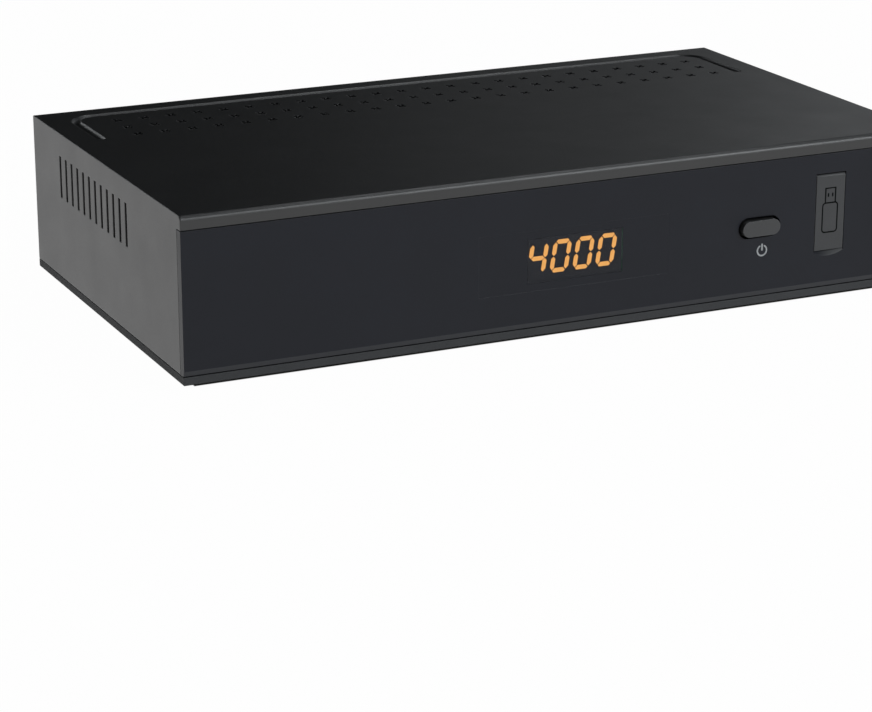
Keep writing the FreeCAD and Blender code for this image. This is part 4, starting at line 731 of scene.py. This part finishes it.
def plane(name, size, z):
    mesh = bpy.data.meshes.new(name)
    corners = [(-size, -size, z), (size, -size, z), (size, size, z), (-size, size, z)]
    mesh.from_pydata(corners, [], [(0, 1, 2, 3)])
    thing = bpy.data.objects.new(name, mesh)
    bpy.context.scene.collection.objects.link(thing)
    return thing


def seen_directly(it):
    """1 for rays straight from the camera, off a glossy surface or through glass."""
    rays = it.node("ShaderNodeLightPath").socket.node.outputs
    camera, glossy, through = (
        Wire(it, rays[name]) for name in ("Is Camera Ray", "Is Glossy Ray", "Is Transmission Ray")
    )
    return camera.either(glossy).either(through)


FLOOR_HALF = 12.0
SHADE_STARTS, SHADE_FULL = 4.2 * MM, 4.7 * MM


def studio_floor():
    """A pale floor with a painted shadow under the case, from a little way in from its edge."""
    floor = plane("studio_floor", FLOOR_HALF, 0.0)
    it = Finish("pale_floor", Roughness=0.9, Specular_IOR_Level=0.0)
    glow = it.node("ShaderNodeEmission", inputs={"Color": colour(1, 1, 1), "Strength": 1.0})
    shaded = Wire(it, it.shader.outputs[0])
    x, y, _ = it.axes()
    low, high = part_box("bottom_case")
    # Painted shadow: under the case, from a little way in, the floor gets a dark base colour and loses its
    # white glow.
    inward = (high.x - abs(x)).both((high.y - low.y) / 2 - abs(y - (high.y + low.y) / 2))
    outside_painted_shade = inward.rise(SHADE_FULL, SHADE_STARTS)
    it.feed(Base_Color=it.blend(outside_painted_shade, colour(0.2, 0.2, 0.2), colour(0.8, 0.8, 0.8)))
    both = it.node("ShaderNodeMixShader", inputs={0: seen_directly(it) * outside_painted_shade * 0.985, 1: shaded, 2: glow})
    it.join(both, it.tree.nodes["Material Output"].inputs["Surface"])
    floor.data.materials.append(it.material)


WORLD_TONE = colour(0.01, 0.0105, 0.011)


def studio_world():
    """White for the camera and in glossy reflections near the horizon, and dim elsewhere."""
    world = bpy.data.worlds.new("studio")
    bpy.context.scene.world = world
    world.use_nodes = True
    it = Nodes(world.node_tree)
    background = it.tree.nodes["Background"]
    up = it.parts(it.node("ShaderNodeTexCoord", output="Generated"))[2]
    camera = it.node("ShaderNodeLightPath", output="Is Camera Ray")
    near_horizon = seen_directly(it) * up.rise(0.06, 0.0)
    white = camera.either(near_horizon)
    it.join(it.blend(white, WORLD_TONE, colour(1, 1, 1)), background.inputs["Color"])
    background.inputs["Strength"].default_value = 1.0


LAMP_COLOUR = (0.94, 0.975, 1.0)


def soft_lamp(name, at, towards, width, height, power):
    """A rectangular lamp at one point, turned towards another."""
    lamp = bpy.data.lights.new(name, "AREA")
    lamp.shape = "RECTANGLE"
    lamp.size, lamp.size_y = width, height
    lamp.energy, lamp.color = power, LAMP_COLOUR
    thing = bpy.data.objects.new(name, lamp)
    thing.location = at
    thing.rotation_euler = (Vector(towards) - Vector(at)).to_track_quat("-Z", "Y").to_euler()
    bpy.context.scene.collection.objects.link(thing)


def camera():
    data = bpy.data.cameras.new("camera")
    data.lens, data.sensor_width = 116.98, 36.0
    data.clip_start, data.clip_end = 0.01, 60
    thing = bpy.data.objects.new("camera", data)
    thing.location = (-0.33980, -0.70491, 0.23201)
    way = Vector((0.402873, 0.860793, -0.311013))
    thing.rotation_euler = way.to_track_quat("-Z", "Y").to_euler()
    bpy.context.scene.collection.objects.link(thing)
    bpy.context.scene.camera = thing


studio_floor()
studio_world()
soft_lamp("key_box", (0.90, -1.30, 0.80), (0.02, -0.06, 0.03), 1.2, 0.35, 17.7)
soft_lamp("front_box", (-0.60, -1.60, 0.30), (0, -0.06, 0.03), 1.4, 0.5, 1.5)
soft_lamp("right_box", (1.00, 0.85, 0.48), (0.05, 0, 0.04), 1.3, 0.45, 0.30)
soft_lamp("right_end_box", (0.85, 0.75, 0.42), (0.08, 0, 0.04), 0.5, 0.35, 0.35)
soft_lamp("back_box", (-1.0, 1.25, 0.45), (0, 0.05, 0.03), 1.2, 0.4, 4)
soft_lamp("top_strip", (0.44, -0.05, 1.0), (0.05, -0.06, 0.04), 0.9, 0.15, 2.15)
camera()
bpy.context.scene.view_settings.view_transform = "Standard"
